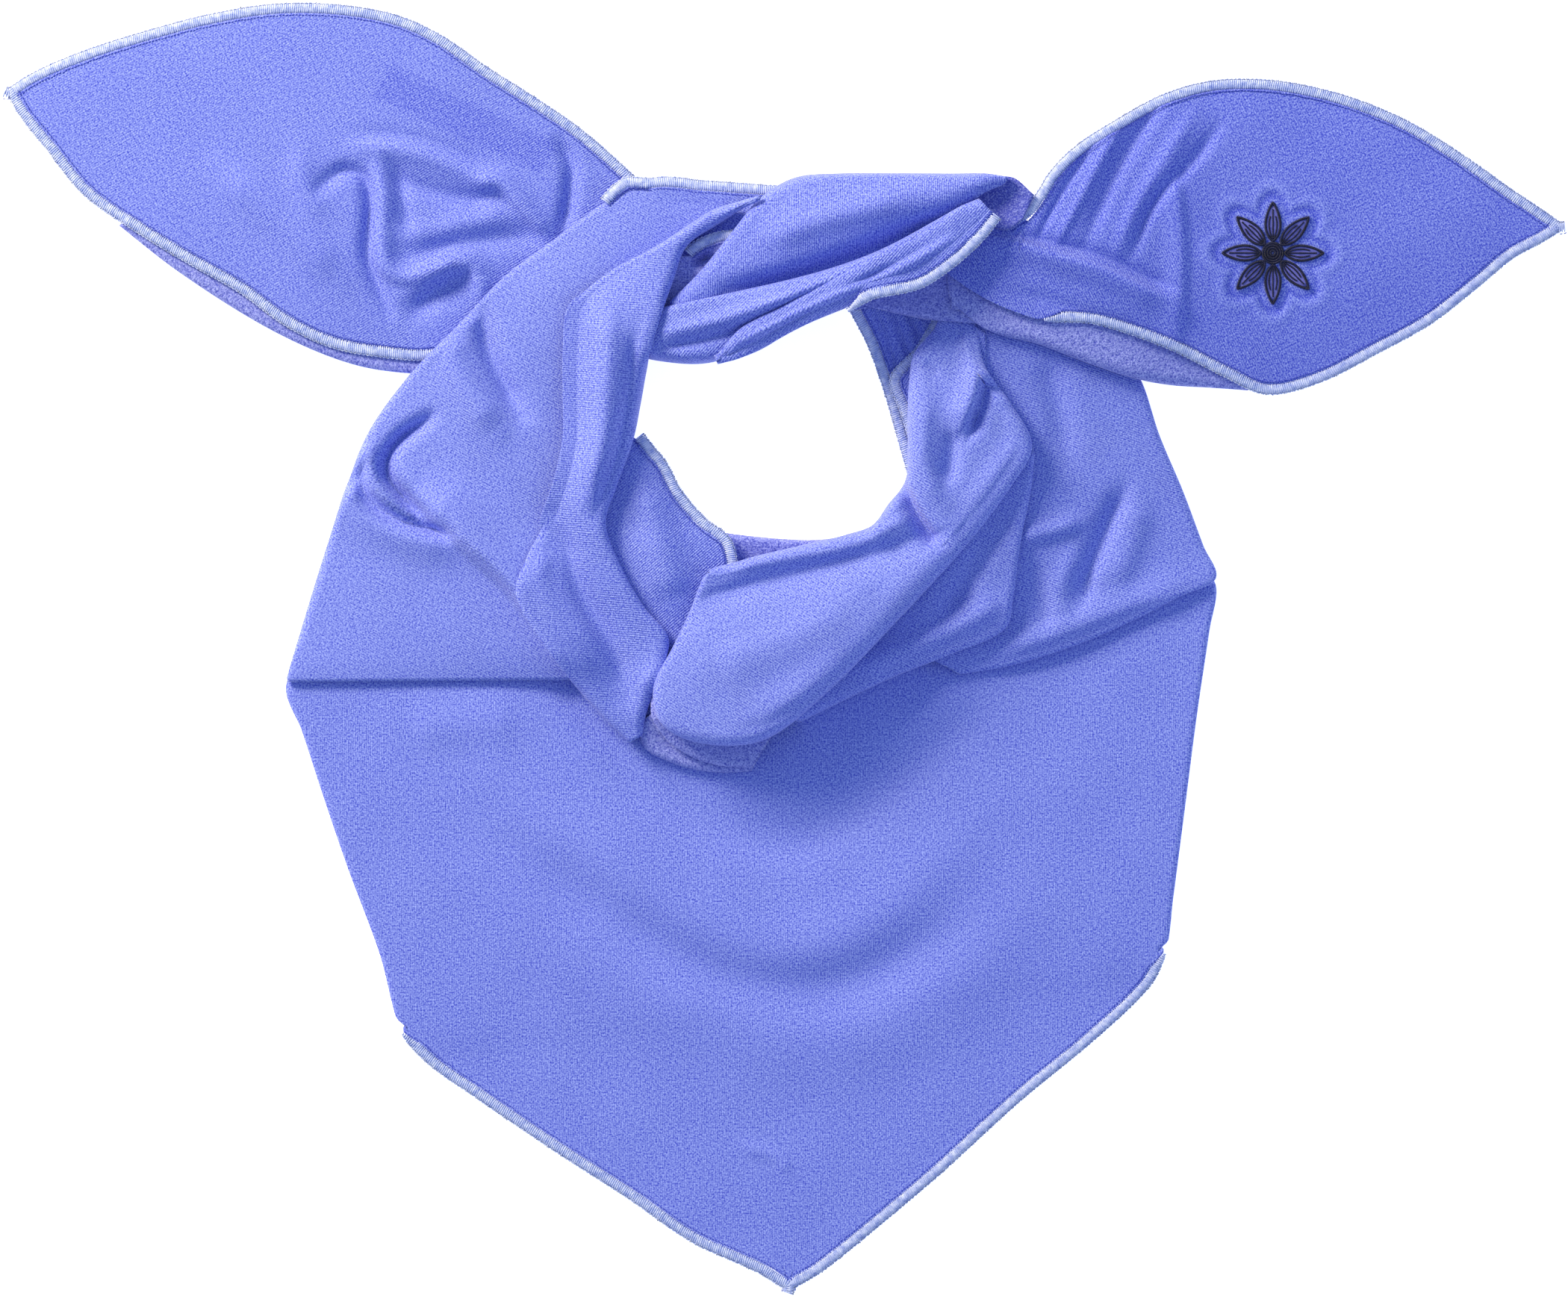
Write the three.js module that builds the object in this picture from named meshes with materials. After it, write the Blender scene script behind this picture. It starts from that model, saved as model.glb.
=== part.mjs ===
// Neckerchief tied in a knot and laid flat, face up.
// A square of brushed jersey with thread-bound cut edges hangs as a bib below
// a cowl of soft folds round the neck hole, and its two ends leave the knot as
// pointed tails. Millimetres, +Z up, the cloth rests on z = 0, the bib's tip
// points to -Y and the origin is under the middle of the outline.
import * as THREE from 'three';

// Driving sizes of the laid cloth
const SPREAD = 712;
const DROP = 590;
const BIB_HEIGHT = 8;
const SIDE_HEIGHT = 17;
const TAIL_HEIGHT = 14;
const COWL_HEIGHT = 32;
const KNOT_HEIGHT = 42;

// Driving sizes of the material
const CLOTH = 1.4;
const HEM_WIDTH = 5;
const HEM_THICKNESS = 2.4;
const CLEARANCE = 0.3;

// Widths of the turned edges: what lies hidden below, and how far a fold bulges
const FLAP_BACK = 110;
const TURN_BACK = 14;
const FLAT_BULGE = 2.5;
const SOFT_BULGE = 7;
const FULL_BULGE = 11;

// Width that the fold tables give their spreads in
const FOLD_WIDTH = 40;

// Embroidered flower: overall size, thread relief and place on the right tail
const MOTIF_SIZE = 46;
const MOTIF_RELIEF = 1;
const MOTIF_PETALS = 8;
const MOTIF_AT = { u: 81.2, v: 19.4 };

// How finely the solids are faceted, and the raster that keeps layers apart
const FACET_LENGTH = 20;
const FACET_WIDTH = 17;
const BROAD_FACET = 27;
const CURL_STEPS = 3;
const BACK_STEPS = 1;
const FLAT_STEP = 1.5;
const FOLD_STEPS = 4;
const CELL = 1.5;
const PILE_SPACING = 1.2;
const LIFT_SPACING = 3;
const FLOOR_MARGIN = 20;

// How a panel is settled: rounds, how gently it is raised at first, and how
// much of a raise the sections beside it take
const SETTLE_ROUNDS = 60;
const GENTLE_LIFT = 0.6;
const LIFT_SPREAD = 0.35;
const SETTLED = CLEARANCE / 10;

// Shares of a strip's width that its edges may take up
const INSET_SHARE = 0.4;
const BULGE_SHARE = 0.25;
const START_SHARE = 0.45;
const BACK_SHARE = 0.9;
const PAIR_SHARE = 0.46;

// How fast folds and bindings fade at their ends, how far an edge may slant
// across its strip, and the row step that its slant is measured over
const FOLD_START = 0.35;
const FOLD_FADE = 0.25;
const HEM_FADE = 0.2;
const LEAST_SLANT = 0.45;
const SLANT_STEP = 0.02;

// The binding's section and the flower's petals, as shares of their sizes
const HEM_SECTION = [[-1, 0], [-0.6, 1], [0.6, 1], [1, 0], [0.6, -1], [-0.6, -1]];
const PETAL_POINTS = 4;
const PETAL_NOTCH = 0.45;
const PETAL_SWELL = 0.6;
const PETAL_RINGS = [1, 0.4];

// Colours from the photograph, in sRGB
const FACE_CLOTH = { color: 0x7280dd, roughness: 0.72, metalness: 0 };
const BACK_CLOTH = { color: 0x7d86d6, roughness: 0.95, metalness: 0 };
const EDGE_THREAD = { color: 0x9cb2f0, roughness: 0.6, metalness: 0 };
const MOTIF_THREAD = { color: 0x1a1e4a, roughness: 0.5, metalness: 0 };

// Places are shares in per cent: u across the spread from the left tail's tip,
// v down the drop from the highest hem
const placeX = (u) => (u / 100 - 0.5) * SPREAD;
const placeY = (v) => (0.5 - v / 100) * DROP;

// Each cloth panel is a strip between two rails, a and b. A row is a section:
// au av bu bv place the strip's edges, ha hm hb are the heights at edge a, the
// middle and edge b in per cent of the panel's lift, and ra rb say how far the
// cloth is turned back under edge a and b in per cent of the panel's turn. A
// zero there is a cut edge. A fold row is [height, spreadLeft, spreadRight, u,
// v, u, v, ...]: height in per cent of the lift, spreads in per cent of
// FOLD_WIDTH to the left and right of the path.
const PANELS = [
  {
    name: 'bib', skin: FACE_CLOTH, lift: BIB_HEIGHT, turn: FLAP_BACK, bulge: FLAT_BULGE, broad: true,
    rows: [
      [19.4, 50.0, 76.0, 43.4, 42, 40, 42, 100, 100],
      [18.0, 52.9, 77.6, 45.0, 42, 40, 42, 100, 100],
      [19.0, 56.2, 77.2, 48.5, 42, 40, 42, 92, 92],
      [20.3, 61.0, 76.4, 55.0, 42, 44, 42, 74, 74],
      [22.0, 67.0, 75.6, 62.5, 42, 50, 42, 50, 48],
      [24.0, 73.5, 74.9, 69.0, 40, 50, 42, 24, 20],
      [25.4, 79.6, 74.4, 73.4, 30, 44, 30, 0, 0],
      [27.0, 81.9, 73.4, 76.0, 16, 36, 16, 0, 0],
      [30.0, 84.5, 70.0, 80.0, 16, 32, 16, 0, 0],
      [35.0, 88.6, 65.0, 85.0, 16, 28, 16, 0, 0],
      [40.0, 92.5, 60.0, 90.5, 16, 24, 16, 0, 0],
      [44.0, 95.8, 55.8, 94.8, 16, 18, 16, 0, 0],
      [47.8, 97.9, 52.6, 97.9, 16, 16, 16, 0, 0],
    ],
    folds: [
      [60, 42, 30, 32, 59, 40, 66, 46, 70.5, 51, 71.5, 56, 69, 61, 64],
      [-30, 26, 34, 30, 62, 36, 67, 43, 72.5, 49, 75.5, 54, 75, 59, 70],
      [40, 30, 60, 31, 66, 40, 74, 50, 79, 58, 77, 65, 70],
      [45, 26, 26, 56, 55, 54, 60, 51, 66],
      [34, 30, 30, 26, 56, 33, 55.5],
      [26, 16, 12, 47.5, 88.6, 50, 89.6],
    ],
  },
  {
    name: 'tail_left_back', skin: BACK_CLOTH, lift: TAIL_HEIGHT, turn: TURN_BACK, bulge: FLAT_BULGE,
    rows: [
      [10.5, 16.0, 7.3, 17.2, 12, 14, 20, 0, 40],
      [14.0, 18.2, 11.0, 20.7, 12, 14, 24, 0, 50],
      [18.5, 20.6, 16.0, 24.6, 12, 16, 26, 0, 60],
      [21.5, 22.4, 20.0, 27.0, 12, 18, 26, 0, 60],
      [24.5, 24.0, 23.4, 28.3, 12, 18, 26, 0, 60],
      [28.5, 24.6, 28.0, 28.9, 12, 18, 26, 0, 60],
    ],
    folds: [],
  },
  {
    name: 'tail_left', skin: FACE_CLOTH, lift: TAIL_HEIGHT, turn: TURN_BACK, bulge: FLAT_BULGE,
    rows: [
      [1.5, 5.6, 1.1, 9.0, 10, 12, 10, 0, 0],
      [3.2, 4.6, 2.7, 11.4, 10, 18, 12, 0, 0],
      [6.0, 3.3, 5.0, 14.8, 10, 22, 14, 0, 0],
      [9.5, 2.0, 8.0, 17.4, 10, 26, 24, 0, 0],
      [13.0, 0.9, 11.5, 20.0, 12, 30, 30, 0, 0],
      [17.0, 0.1, 15.0, 22.4, 14, 34, 34, 0, 0],
      [21.0, 0.1, 18.0, 25.0, 16, 40, 34, 0, 0],
      [25.0, 0.9, 21.0, 26.7, 18, 44, 32, 0, 0],
      [28.0, 2.5, 24.0, 27.4, 20, 44, 30, 0, 0],
      [31.0, 5.0, 27.5, 27.6, 20, 44, 30, 0, 0],
      [34.0, 7.3, 31.0, 26.0, 20, 44, 28, 0, 0],
      [37.0, 9.8, 35.0, 22.4, 20, 40, 26, 0, 0],
      [40.2, 13.2, 39.0, 18.4, 20, 34, 24, 0, 0],
      [42.5, 16.0, 41.6, 18.6, 20, 30, 24, 0, 0],
    ],
    folds: [
      [46, 12, 20, 24, 10.2, 28, 11, 31, 12, 33, 13.4],
      [40, 16, 10, 31, 14, 33, 16, 34.6, 18.6],
      [-30, 18, 14, 26, 13.5, 29, 15.3, 31, 15],
      [-40, 9, 9, 20.2, 14.4, 21.5, 12.6, 23, 12.9, 23.7, 14.6, 23.4, 18, 24.4, 22.6],
      [40, 12, 16, 25, 13.6, 25.6, 17, 26.6, 20.6, 28.6, 19.4, 31, 17],
      [-34, 12, 10, 25.8, 22.8, 28, 21.3, 30, 21],
      [-28, 10, 14, 27.5, 19.4, 31, 18.1, 34, 18.2],
      [-30, 12, 12, 36, 11.6, 37, 14, 36, 17.4],
      [24, 22, 22, 15, 13, 19, 16, 22, 21],
    ],
  },
  {
    name: 'left_side', skin: FACE_CLOTH, lift: SIDE_HEIGHT, turn: TURN_BACK, bulge: SOFT_BULGE,
    rows: [
      [49.6, 14.2, 49.4, 17.0, 60, 70, 80, 0, 0],
      [45.0, 13.8, 45.8, 18.6, 56, 70, 80, 0, 0],
      [41.4, 13.6, 42.2, 21.0, 56, 76, 80, 0, 0],
      [38.4, 15.5, 39.8, 23.2, 60, 84, 80, 60, 0],
      [35.0, 18.5, 38.2, 25.0, 62, 90, 84, 100, 0],
      [32.0, 21.2, 37.4, 27.0, 62, 92, 86, 100, 0],
      [29.0, 25.0, 37.4, 29.5, 60, 92, 88, 100, 0],
      [25.8, 29.0, 37.4, 32.4, 56, 86, 90, 100, 0],
      [23.4, 33.0, 37.2, 35.2, 46, 82, 90, 100, 0],
      [22.0, 37.0, 36.8, 38.4, 40, 76, 90, 100, 0],
      [20.9, 41.0, 36.2, 41.6, 36, 66, 90, 100, 0],
      [19.6, 46.0, 36.2, 45.6, 36, 56, 84, 100, 0],
      [18.6, 50.0, 37.6, 49.4, 36, 52, 76, 80, 0],
      [18.2, 51.6, 39.0, 51.4, 36, 46, 60, 50, 0],
      [18.0, 52.5, 39.6, 52.3, 32, 38, 44, 20, 0],
    ],
    folds: [
      [-46, 12, 8, 30.3, 24, 31, 27, 32, 29.6, 33.6, 32],
      [30, 14, 26, 28.6, 27, 30, 30, 33, 33],
      [-66, 8, 12, 27, 31.4, 25.4, 33.4, 24.6, 35.2, 25, 37, 26.4, 39],
      [42, 16, 26, 28.6, 32.4, 27, 34.6, 27.4, 37, 29.6, 40, 33, 44.6],
      [30, 10, 10, 24.4, 34, 23.8, 36.4, 24.8, 38.8, 27, 40.6],
      [-40, 14, 8, 23, 35, 23.2, 37.6, 24.6, 39.8, 27.4, 41.6, 31, 45.6, 34.4, 50.6],
      [34, 30, 30, 24, 47, 30, 49.4],
    ],
  },
  {
    name: 'body_right', skin: FACE_CLOTH, lift: SIDE_HEIGHT, turn: TURN_BACK, bulge: SOFT_BULGE,
    rows: [
      [71.4, 27.2, 64.4, 24.4, 36, 70, 90, 60, 0],
      [72.8, 29.2, 64.0, 28.0, 36, 72, 90, 60, 0],
      [74.0, 33.5, 63.6, 32.0, 36, 70, 90, 100, 0],
      [75.5, 37.8, 63.2, 36.0, 36, 66, 90, 100, 0],
      [76.8, 42.0, 62.4, 40.0, 36, 60, 90, 100, 0],
      [77.6, 44.5, 61.8, 43.0, 36, 56, 86, 50, 0],
      [75.4, 45.8, 61.2, 45.2, 36, 54, 80, 60, 0],
      [72.0, 47.9, 60.6, 46.8, 40, 54, 74, 80, 0],
      [68.5, 49.7, 60.0, 48.0, 46, 54, 66, 80, 0],
      [64.5, 51.2, 59.4, 49.2, 46, 52, 60, 80, 0],
      [61.2, 51.9, 58.8, 50.4, 44, 50, 56, 60, 0],
    ],
    folds: [
      [40, 10, 14, 65.4, 42, 67, 41.2, 69, 41.0],
      [-30, 10, 10, 69.2, 41.4, 69.2, 44, 69.4, 47],
      [34, 16, 12, 72, 38.6, 71.6, 41.6, 71, 45],
      [-46, 10, 8, 71.4, 38.2, 70.3, 41, 69.8, 44.4],
      [30, 10, 16, 76.4, 45, 72, 46.6, 67.6, 48.6, 63.6, 50.2],
      [-30, 10, 12, 66.6, 28, 67.2, 33, 68.4, 37],
      [-26, 14, 14, 74.6, 44.6, 70, 46, 65, 49.4],
    ],
  },
  {
    name: 'neck_back', skin: FACE_CLOTH, lift: COWL_HEIGHT, turn: TURN_BACK, bulge: FLAT_BULGE,
    rows: [
      [53.6, 22.4, 58.8, 22.6, 14, 14, 12, 0, 0],
      [54.2, 24.0, 59.6, 24.6, 14, 14, 12, 0, 0],
      [55.3, 26.6, 60.4, 27.6, 12, 12, 12, 0, 0],
      [56.3, 30.0, 61.0, 31.0, 12, 12, 12, 0, 0],
      [57.1, 33.4, 61.2, 34.2, 12, 12, 12, 0, 0],
      [57.9, 36.8, 61.2, 37.4, 12, 12, 12, 0, 0],
    ],
    folds: [
      [8, 6, 10, 56, 24.3, 57.2, 27.6],
      [8, 6, 10, 57.4, 24.3, 58.2, 26.4],
    ],
  },
  {
    name: 'neck_back_over', skin: FACE_CLOTH, lift: COWL_HEIGHT, turn: TURN_BACK, bulge: FLAT_BULGE,
    rows: [
      [60.6, 24.0, 62.8, 26.0, 20, 20, 20, 0, 0],
      [58.4, 26.6, 62.8, 28.6, 20, 20, 20, 0, 0],
      [56.7, 29.0, 62.6, 31.0, 18, 20, 20, 0, 0],
      [57.4, 31.8, 62.2, 33.0, 18, 20, 20, 0, 0],
      [58.2, 34.8, 61.6, 35.6, 18, 20, 20, 0, 0],
    ],
    folds: [],
  },
  {
    name: 'neck_front_back', skin: BACK_CLOTH, lift: COWL_HEIGHT, turn: TURN_BACK, bulge: FLAT_BULGE,
    rows: [
      [45.2, 40.8, 46.2, 44.8, 26, 24, 20, 70, 0],
      [47.0, 41.1, 47.6, 45.0, 28, 24, 20, 70, 0],
      [49.5, 41.4, 50.0, 45.2, 30, 24, 20, 70, 0],
      [52.0, 41.5, 52.6, 45.2, 30, 24, 20, 70, 0],
      [54.6, 41.1, 55.2, 44.8, 28, 24, 20, 70, 0],
    ],
    folds: [],
  },
  {
    name: 'neckline_left', skin: FACE_CLOTH, lift: COWL_HEIGHT, turn: TURN_BACK, bulge: FLAT_BULGE,
    rows: [
      [37.8, 33.0, 39.9, 33.4, 48, 44, 40, 0, 0],
      [38.8, 35.2, 42.1, 35.0, 50, 46, 38, 0, 0],
      [38.0, 38.0, 43.4, 37.7, 52, 48, 38, 0, 0],
      [37.4, 40.6, 44.9, 39.8, 56, 50, 40, 0, 0],
      [37.8, 43.2, 46.5, 41.4, 56, 54, 42, 0, 0],
      [38.8, 45.4, 47.0, 43.6, 52, 54, 42, 0, 0],
      [39.6, 47.8, 47.0, 46.6, 44, 50, 40, 0, 0],
      [40.0, 50.2, 46.0, 49.8, 40, 46, 40, 0, 0],
      [39.8, 52.6, 44.6, 53.0, 36, 42, 38, 0, 0],
      [39.8, 54.6, 42.8, 55.6, 32, 38, 36, 0, 0],
    ],
    folds: [
      [16, 22, 22, 41, 37, 42, 42, 43, 46],
    ],
  },
  {
    name: 'cowl_tip_lower', skin: BACK_CLOTH, lift: COWL_HEIGHT, turn: TURN_BACK, bulge: FLAT_BULGE,
    rows: [
      [40.6, 55.8, 42.4, 54.0, 26, 26, 26, 40, 0],
      [41.0, 57.6, 43.8, 54.6, 26, 26, 26, 40, 0],
      [42.4, 58.6, 45.2, 55.0, 26, 26, 26, 50, 0],
      [44.3, 59.3, 46.8, 55.4, 26, 26, 26, 50, 0],
      [46.0, 59.5, 48.2, 55.8, 26, 26, 26, 50, 0],
      [47.8, 59.4, 49.4, 56.2, 26, 26, 26, 50, 0],
    ],
    folds: [],
  },
  {
    name: 'cowl_tip', skin: BACK_CLOTH, lift: COWL_HEIGHT, turn: TURN_BACK, bulge: FLAT_BULGE,
    rows: [
      [41.4, 53.6, 43.6, 52.6, 46, 44, 44, 40, 0],
      [41.5, 55.4, 44.6, 53.8, 44, 44, 44, 50, 0],
      [42.6, 57.2, 46.0, 54.8, 42, 44, 44, 50, 0],
      [44.2, 58.4, 47.4, 55.2, 40, 44, 44, 50, 0],
      [46.0, 59.0, 48.6, 55.6, 40, 44, 44, 50, 0],
      [47.9, 59.1, 49.4, 56.0, 40, 44, 44, 50, 0],
    ],
    folds: [],
  },
  {
    name: 'cowl_under', skin: FACE_CLOTH, lift: COWL_HEIGHT, turn: TURN_BACK, bulge: SOFT_BULGE,
    rows: [
      [63.6, 34.6, 66.0, 34.8, 60, 60, 56, 0, 60],
      [63.0, 37.4, 65.7, 38.0, 60, 60, 56, 0, 80],
      [61.2, 40.4, 65.1, 41.6, 60, 60, 54, 0, 100],
      [59.4, 43.2, 64.6, 46.0, 58, 60, 52, 0, 100],
      [57.4, 45.8, 64.0, 48.5, 58, 58, 50, 0, 90],
      [55.2, 48.4, 60.5, 50.4, 56, 56, 50, 0, 100],
      [53.0, 50.8, 57.0, 52.1, 54, 54, 48, 0, 100],
      [51.0, 52.8, 54.0, 53.8, 52, 52, 46, 0, 90],
      [49.0, 54.6, 51.0, 55.6, 50, 50, 44, 0, 80],
    ],
    folds: [
      [-16, 14, 14, 64.2, 39, 62.4, 43, 60, 47.6],
      [12, 12, 16, 64, 46.4, 60, 48.8, 55, 51.4],
    ],
  },
  {
    name: 'knot_left_back', skin: BACK_CLOTH, lift: KNOT_HEIGHT, turn: TURN_BACK, bulge: FLAT_BULGE,
    rows: [
      [47.4, 16.6, 50.0, 18.0, 44, 44, 44, 0, 0],
      [45.4, 18.1, 48.0, 20.2, 44, 44, 44, 0, 0],
      [43.4, 19.0, 46.2, 22.4, 44, 44, 44, 0, 0],
      [41.6, 22.6, 44.4, 24.8, 42, 42, 42, 0, 0],
    ],
    folds: [
      [-10, 10, 10, 45.6, 19.6, 43.6, 20.4],
    ],
  },
  {
    name: 'cowl_right', skin: FACE_CLOTH, lift: COWL_HEIGHT, turn: TURN_BACK, bulge: FULL_BULGE,
    rows: [
      [45.4, 43.7, 44.7, 44.6, 80, 80, 80, 20, 20],
      [46.8, 43.3, 43.9, 47.2, 86, 88, 82, 50, 40],
      [48.2, 42.8, 42.8, 50.0, 90, 90, 82, 70, 60],
      [49.6, 42.4, 41.6, 53.0, 92, 90, 80, 80, 60],
      [51.0, 42.0, 42.1, 55.8, 94, 90, 76, 80, 50],
      [52.4, 41.6, 44.8, 57.3, 96, 90, 72, 80, 60],
      [54.0, 41.1, 48.6, 57.0, 98, 92, 70, 90, 80],
      [55.6, 40.4, 52.4, 53.6, 100, 94, 72, 90, 100],
      [56.6, 38.8, 56.6, 48.5, 98, 94, 76, 80, 100],
      [57.7, 36.8, 61.6, 42.0, 94, 90, 76, 70, 100],
      [57.8, 34.2, 64.6, 37.2, 88, 86, 74, 70, 100],
      [57.8, 31.6, 65.8, 34.3, 80, 80, 66, 70, 90],
      [57.9, 29.2, 64.4, 31.0, 70, 72, 60, 70, 80],
      [58.2, 27.2, 62.8, 28.2, 60, 62, 52, 50, 50],
      [59.4, 25.2, 62.4, 25.2, 46, 46, 42, 20, 20],
    ],
    folds: [
      [-34, 14, 16, 46, 45.2, 50, 44.6, 54, 43.8, 58, 42.8],
      [-50, 10, 12, 58.2, 37.6, 59, 39.8, 60, 41.4],
      [16, 20, 30, 47, 47.6, 52, 47, 58, 44.6],
      [-36, 10, 10, 62.4, 26.4, 62.4, 29, 61.8, 31.6],
      [-28, 14, 14, 58.8, 35.4, 60.2, 36.4, 61, 34.4],
      [20, 12, 16, 63.4, 30.4, 63.8, 33, 63.4, 35.6, 61.4, 38.6],
      [18, 20, 24, 59.6, 28.6, 59.8, 32],
    ],
  },
  {
    name: 'knot_right_back', skin: BACK_CLOTH, lift: KNOT_HEIGHT, turn: TURN_BACK, bulge: FLAT_BULGE,
    rows: [
      [54.6, 21.8, 54.3, 23.8, 16, 16, 16, 0, 0],
      [56.6, 21.2, 57.0, 24.2, 24, 24, 24, 0, 20],
      [58.6, 20.6, 59.2, 24.6, 34, 34, 34, 0, 30],
      [60.6, 20.2, 61.3, 24.8, 46, 46, 44, 0, 30],
      [62.6, 20.4, 63.2, 25.0, 46, 46, 42, 0, 30],
    ],
    folds: [],
  },
  {
    name: 'tail_right_back', skin: BACK_CLOTH, lift: KNOT_HEIGHT, turn: TURN_BACK, bulge: SOFT_BULGE,
    rows: [
      [60.2, 20.4, 60.6, 23.8, 30, 30, 30, 0, 0],
      [63.0, 21.4, 63.3, 25.6, 46, 46, 46, 0, 40],
      [66.0, 21.8, 66.2, 26.5, 52, 52, 50, 0, 60],
      [69.0, 22.4, 69.0, 27.8, 44, 48, 46, 0, 60],
      [72.0, 23.2, 72.0, 29.0, 30, 36, 38, 0, 60],
      [75.0, 24.8, 74.6, 29.6, 16, 22, 24, 0, 60],
      [78.0, 26.6, 77.2, 29.8, 8, 12, 14, 0, 50],
      [80.4, 28.2, 79.6, 30.0, 8, 8, 9, 0, 40],
    ],
    folds: [],
  },
  {
    name: 'tail_right', skin: FACE_CLOTH, lift: KNOT_HEIGHT, turn: TURN_BACK, bulge: FLAT_BULGE,
    rows: [
      [62.0, 16.4, 59.8, 20.6, 56, 58, 60, 0, 0],
      [64.2, 17.0, 62.2, 22.6, 56, 60, 60, 0, 0],
      [65.7, 15.4, 64.2, 23.8, 52, 60, 60, 0, 0],
      [67.0, 13.0, 66.6, 24.7, 46, 58, 58, 0, 0],
      [68.7, 11.0, 69.5, 24.9, 40, 52, 56, 0, 0],
      [71.0, 9.2, 72.2, 25.8, 30, 44, 44, 0, 0],
      [74.0, 7.2, 75.2, 27.2, 20, 36, 28, 0, 0],
      [77.0, 6.1, 78.0, 28.9, 12, 28, 18, 0, 0],
      [80.0, 5.9, 80.8, 30.3, 8, 22, 10, 0, 0],
      [83.0, 6.3, 84.2, 29.4, 5, 18, 6, 0, 0],
      [86.5, 7.4, 88.0, 27.1, 4, 14, 5, 0, 0],
      [90.0, 9.2, 91.3, 24.9, 4, 12, 5, 0, 0],
      [93.5, 11.8, 94.3, 22.1, 4, 10, 5, 0, 0],
      [96.4, 14.3, 96.6, 19.8, 4, 7, 5, 0, 0],
      [98.4, 15.9, 98.4, 18.6, 4, 5, 5, 0, 0],
    ],
    folds: [
      [14, 10, 12, 64, 18.4, 67, 19.2, 70, 20.8, 73, 22.4, 75.4, 22.8],
      [-10, 8, 8, 75.5, 15, 75.9, 19, 75.7, 22.4, 75.4, 26],
      [-14, 9, 8, 71, 10, 69, 12.5, 67, 15.2, 66, 17.4],
      [12, 10, 10, 73.4, 10.2, 71, 13, 69, 17],
      [-12, 8, 10, 76.4, 9.6, 74, 13, 72.6, 16, 71.6, 19],
      [8, 12, 16, 79, 9, 77.4, 13, 77, 18],
      [-8, 8, 12, 64.6, 20.6, 68, 22.2, 72, 24.4],
    ],
  },
  {
    name: 'knot_wrap', skin: FACE_CLOTH, lift: KNOT_HEIGHT, turn: TURN_BACK, bulge: FULL_BULGE,
    rows: [
      [42.6, 23.2, 43.4, 25.2, 60, 56, 44, 30, 0],
      [44.6, 20.8, 47.0, 24.6, 66, 66, 44, 40, 0],
      [46.6, 17.8, 50.6, 23.4, 70, 76, 44, 60, 0],
      [48.4, 15.2, 53.6, 22.0, 72, 82, 46, 70, 0],
      [50.6, 13.6, 56.6, 20.4, 74, 84, 48, 80, 0],
      [53.6, 13.3, 59.4, 18.8, 74, 86, 50, 80, 0],
      [57.0, 13.3, 61.4, 17.2, 74, 86, 56, 80, 0],
      [60.4, 13.3, 62.6, 16.0, 72, 84, 66, 80, 0],
      [63.2, 13.4, 63.4, 15.2, 70, 76, 70, 60, 0],
      [65.0, 14.0, 64.4, 15.4, 66, 68, 66, 40, 0],
    ],
    folds: [
      [-22, 18, 20, 45, 22, 49, 20.6, 53, 19, 57, 17, 60, 15.4],
    ],
  },
  {
    name: 'knot_inside', skin: BACK_CLOTH, lift: KNOT_HEIGHT, turn: TURN_BACK, bulge: FLAT_BULGE,
    rows: [
      [62.4, 14.9, 62.8, 16.6, 60, 60, 60, 0, 0],
      [63.8, 14.5, 63.8, 17.2, 60, 60, 60, 0, 0],
      [65.4, 15.0, 64.6, 17.4, 60, 60, 60, 20, 0],
    ],
    folds: [],
  },
  {
    name: 'knot_roll_upper', skin: FACE_CLOTH, lift: KNOT_HEIGHT, turn: TURN_BACK, bulge: SOFT_BULGE,
    rows: [
      [40.0, 24.0, 39.5, 27.0, 62, 62, 62, 20, 20],
      [42.2, 23.6, 41.6, 27.7, 62, 64, 58, 30, 30],
      [44.6, 23.0, 44.4, 28.0, 66, 68, 54, 40, 40],
      [47.4, 22.3, 46.4, 27.4, 76, 76, 56, 40, 30],
      [50.4, 21.5, 49.0, 25.4, 80, 80, 58, 40, 0],
      [53.4, 20.5, 52.2, 23.4, 82, 82, 60, 40, 0],
      [56.2, 19.2, 55.4, 21.4, 84, 84, 64, 30, 0],
      [59.0, 17.4, 58.6, 19.2, 84, 84, 68, 30, 0],
      [61.4, 15.6, 61.2, 17.2, 82, 82, 70, 20, 0],
    ],
    folds: [
      [-12, 12, 12, 43, 25.4, 46.4, 24.4, 50, 23.2],
    ],
  },
  {
    name: 'knot_roll_lower', skin: FACE_CLOTH, lift: KNOT_HEIGHT, turn: TURN_BACK, bulge: SOFT_BULGE,
    rows: [
      [45.4, 27.2, 45.8, 28.2, 60, 60, 56, 10, 20],
      [47.2, 25.2, 48.2, 27.1, 74, 72, 58, 30, 40],
      [49.8, 23.6, 50.6, 25.5, 84, 80, 60, 40, 40],
      [52.4, 21.9, 53.2, 24.1, 84, 86, 70, 40, 40],
      [54.8, 20.4, 55.6, 23.1, 84, 88, 72, 40, 0],
      [57.2, 19.0, 58.6, 22.3, 84, 90, 74, 40, 0],
      [59.6, 17.3, 60.8, 20.6, 84, 90, 76, 40, 0],
      [61.2, 15.9, 62.6, 18.6, 84, 88, 78, 30, 0],
      [62.2, 15.2, 63.7, 17.0, 84, 86, 78, 20, 0],
    ],
    folds: [
      [-14, 8, 8, 47.4, 26, 50.6, 24.2, 54, 22.2, 57, 20.6],
    ],
  },
  {
    name: 'left_band', skin: FACE_CLOTH, lift: COWL_HEIGHT, turn: TURN_BACK, bulge: SOFT_BULGE,
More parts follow.
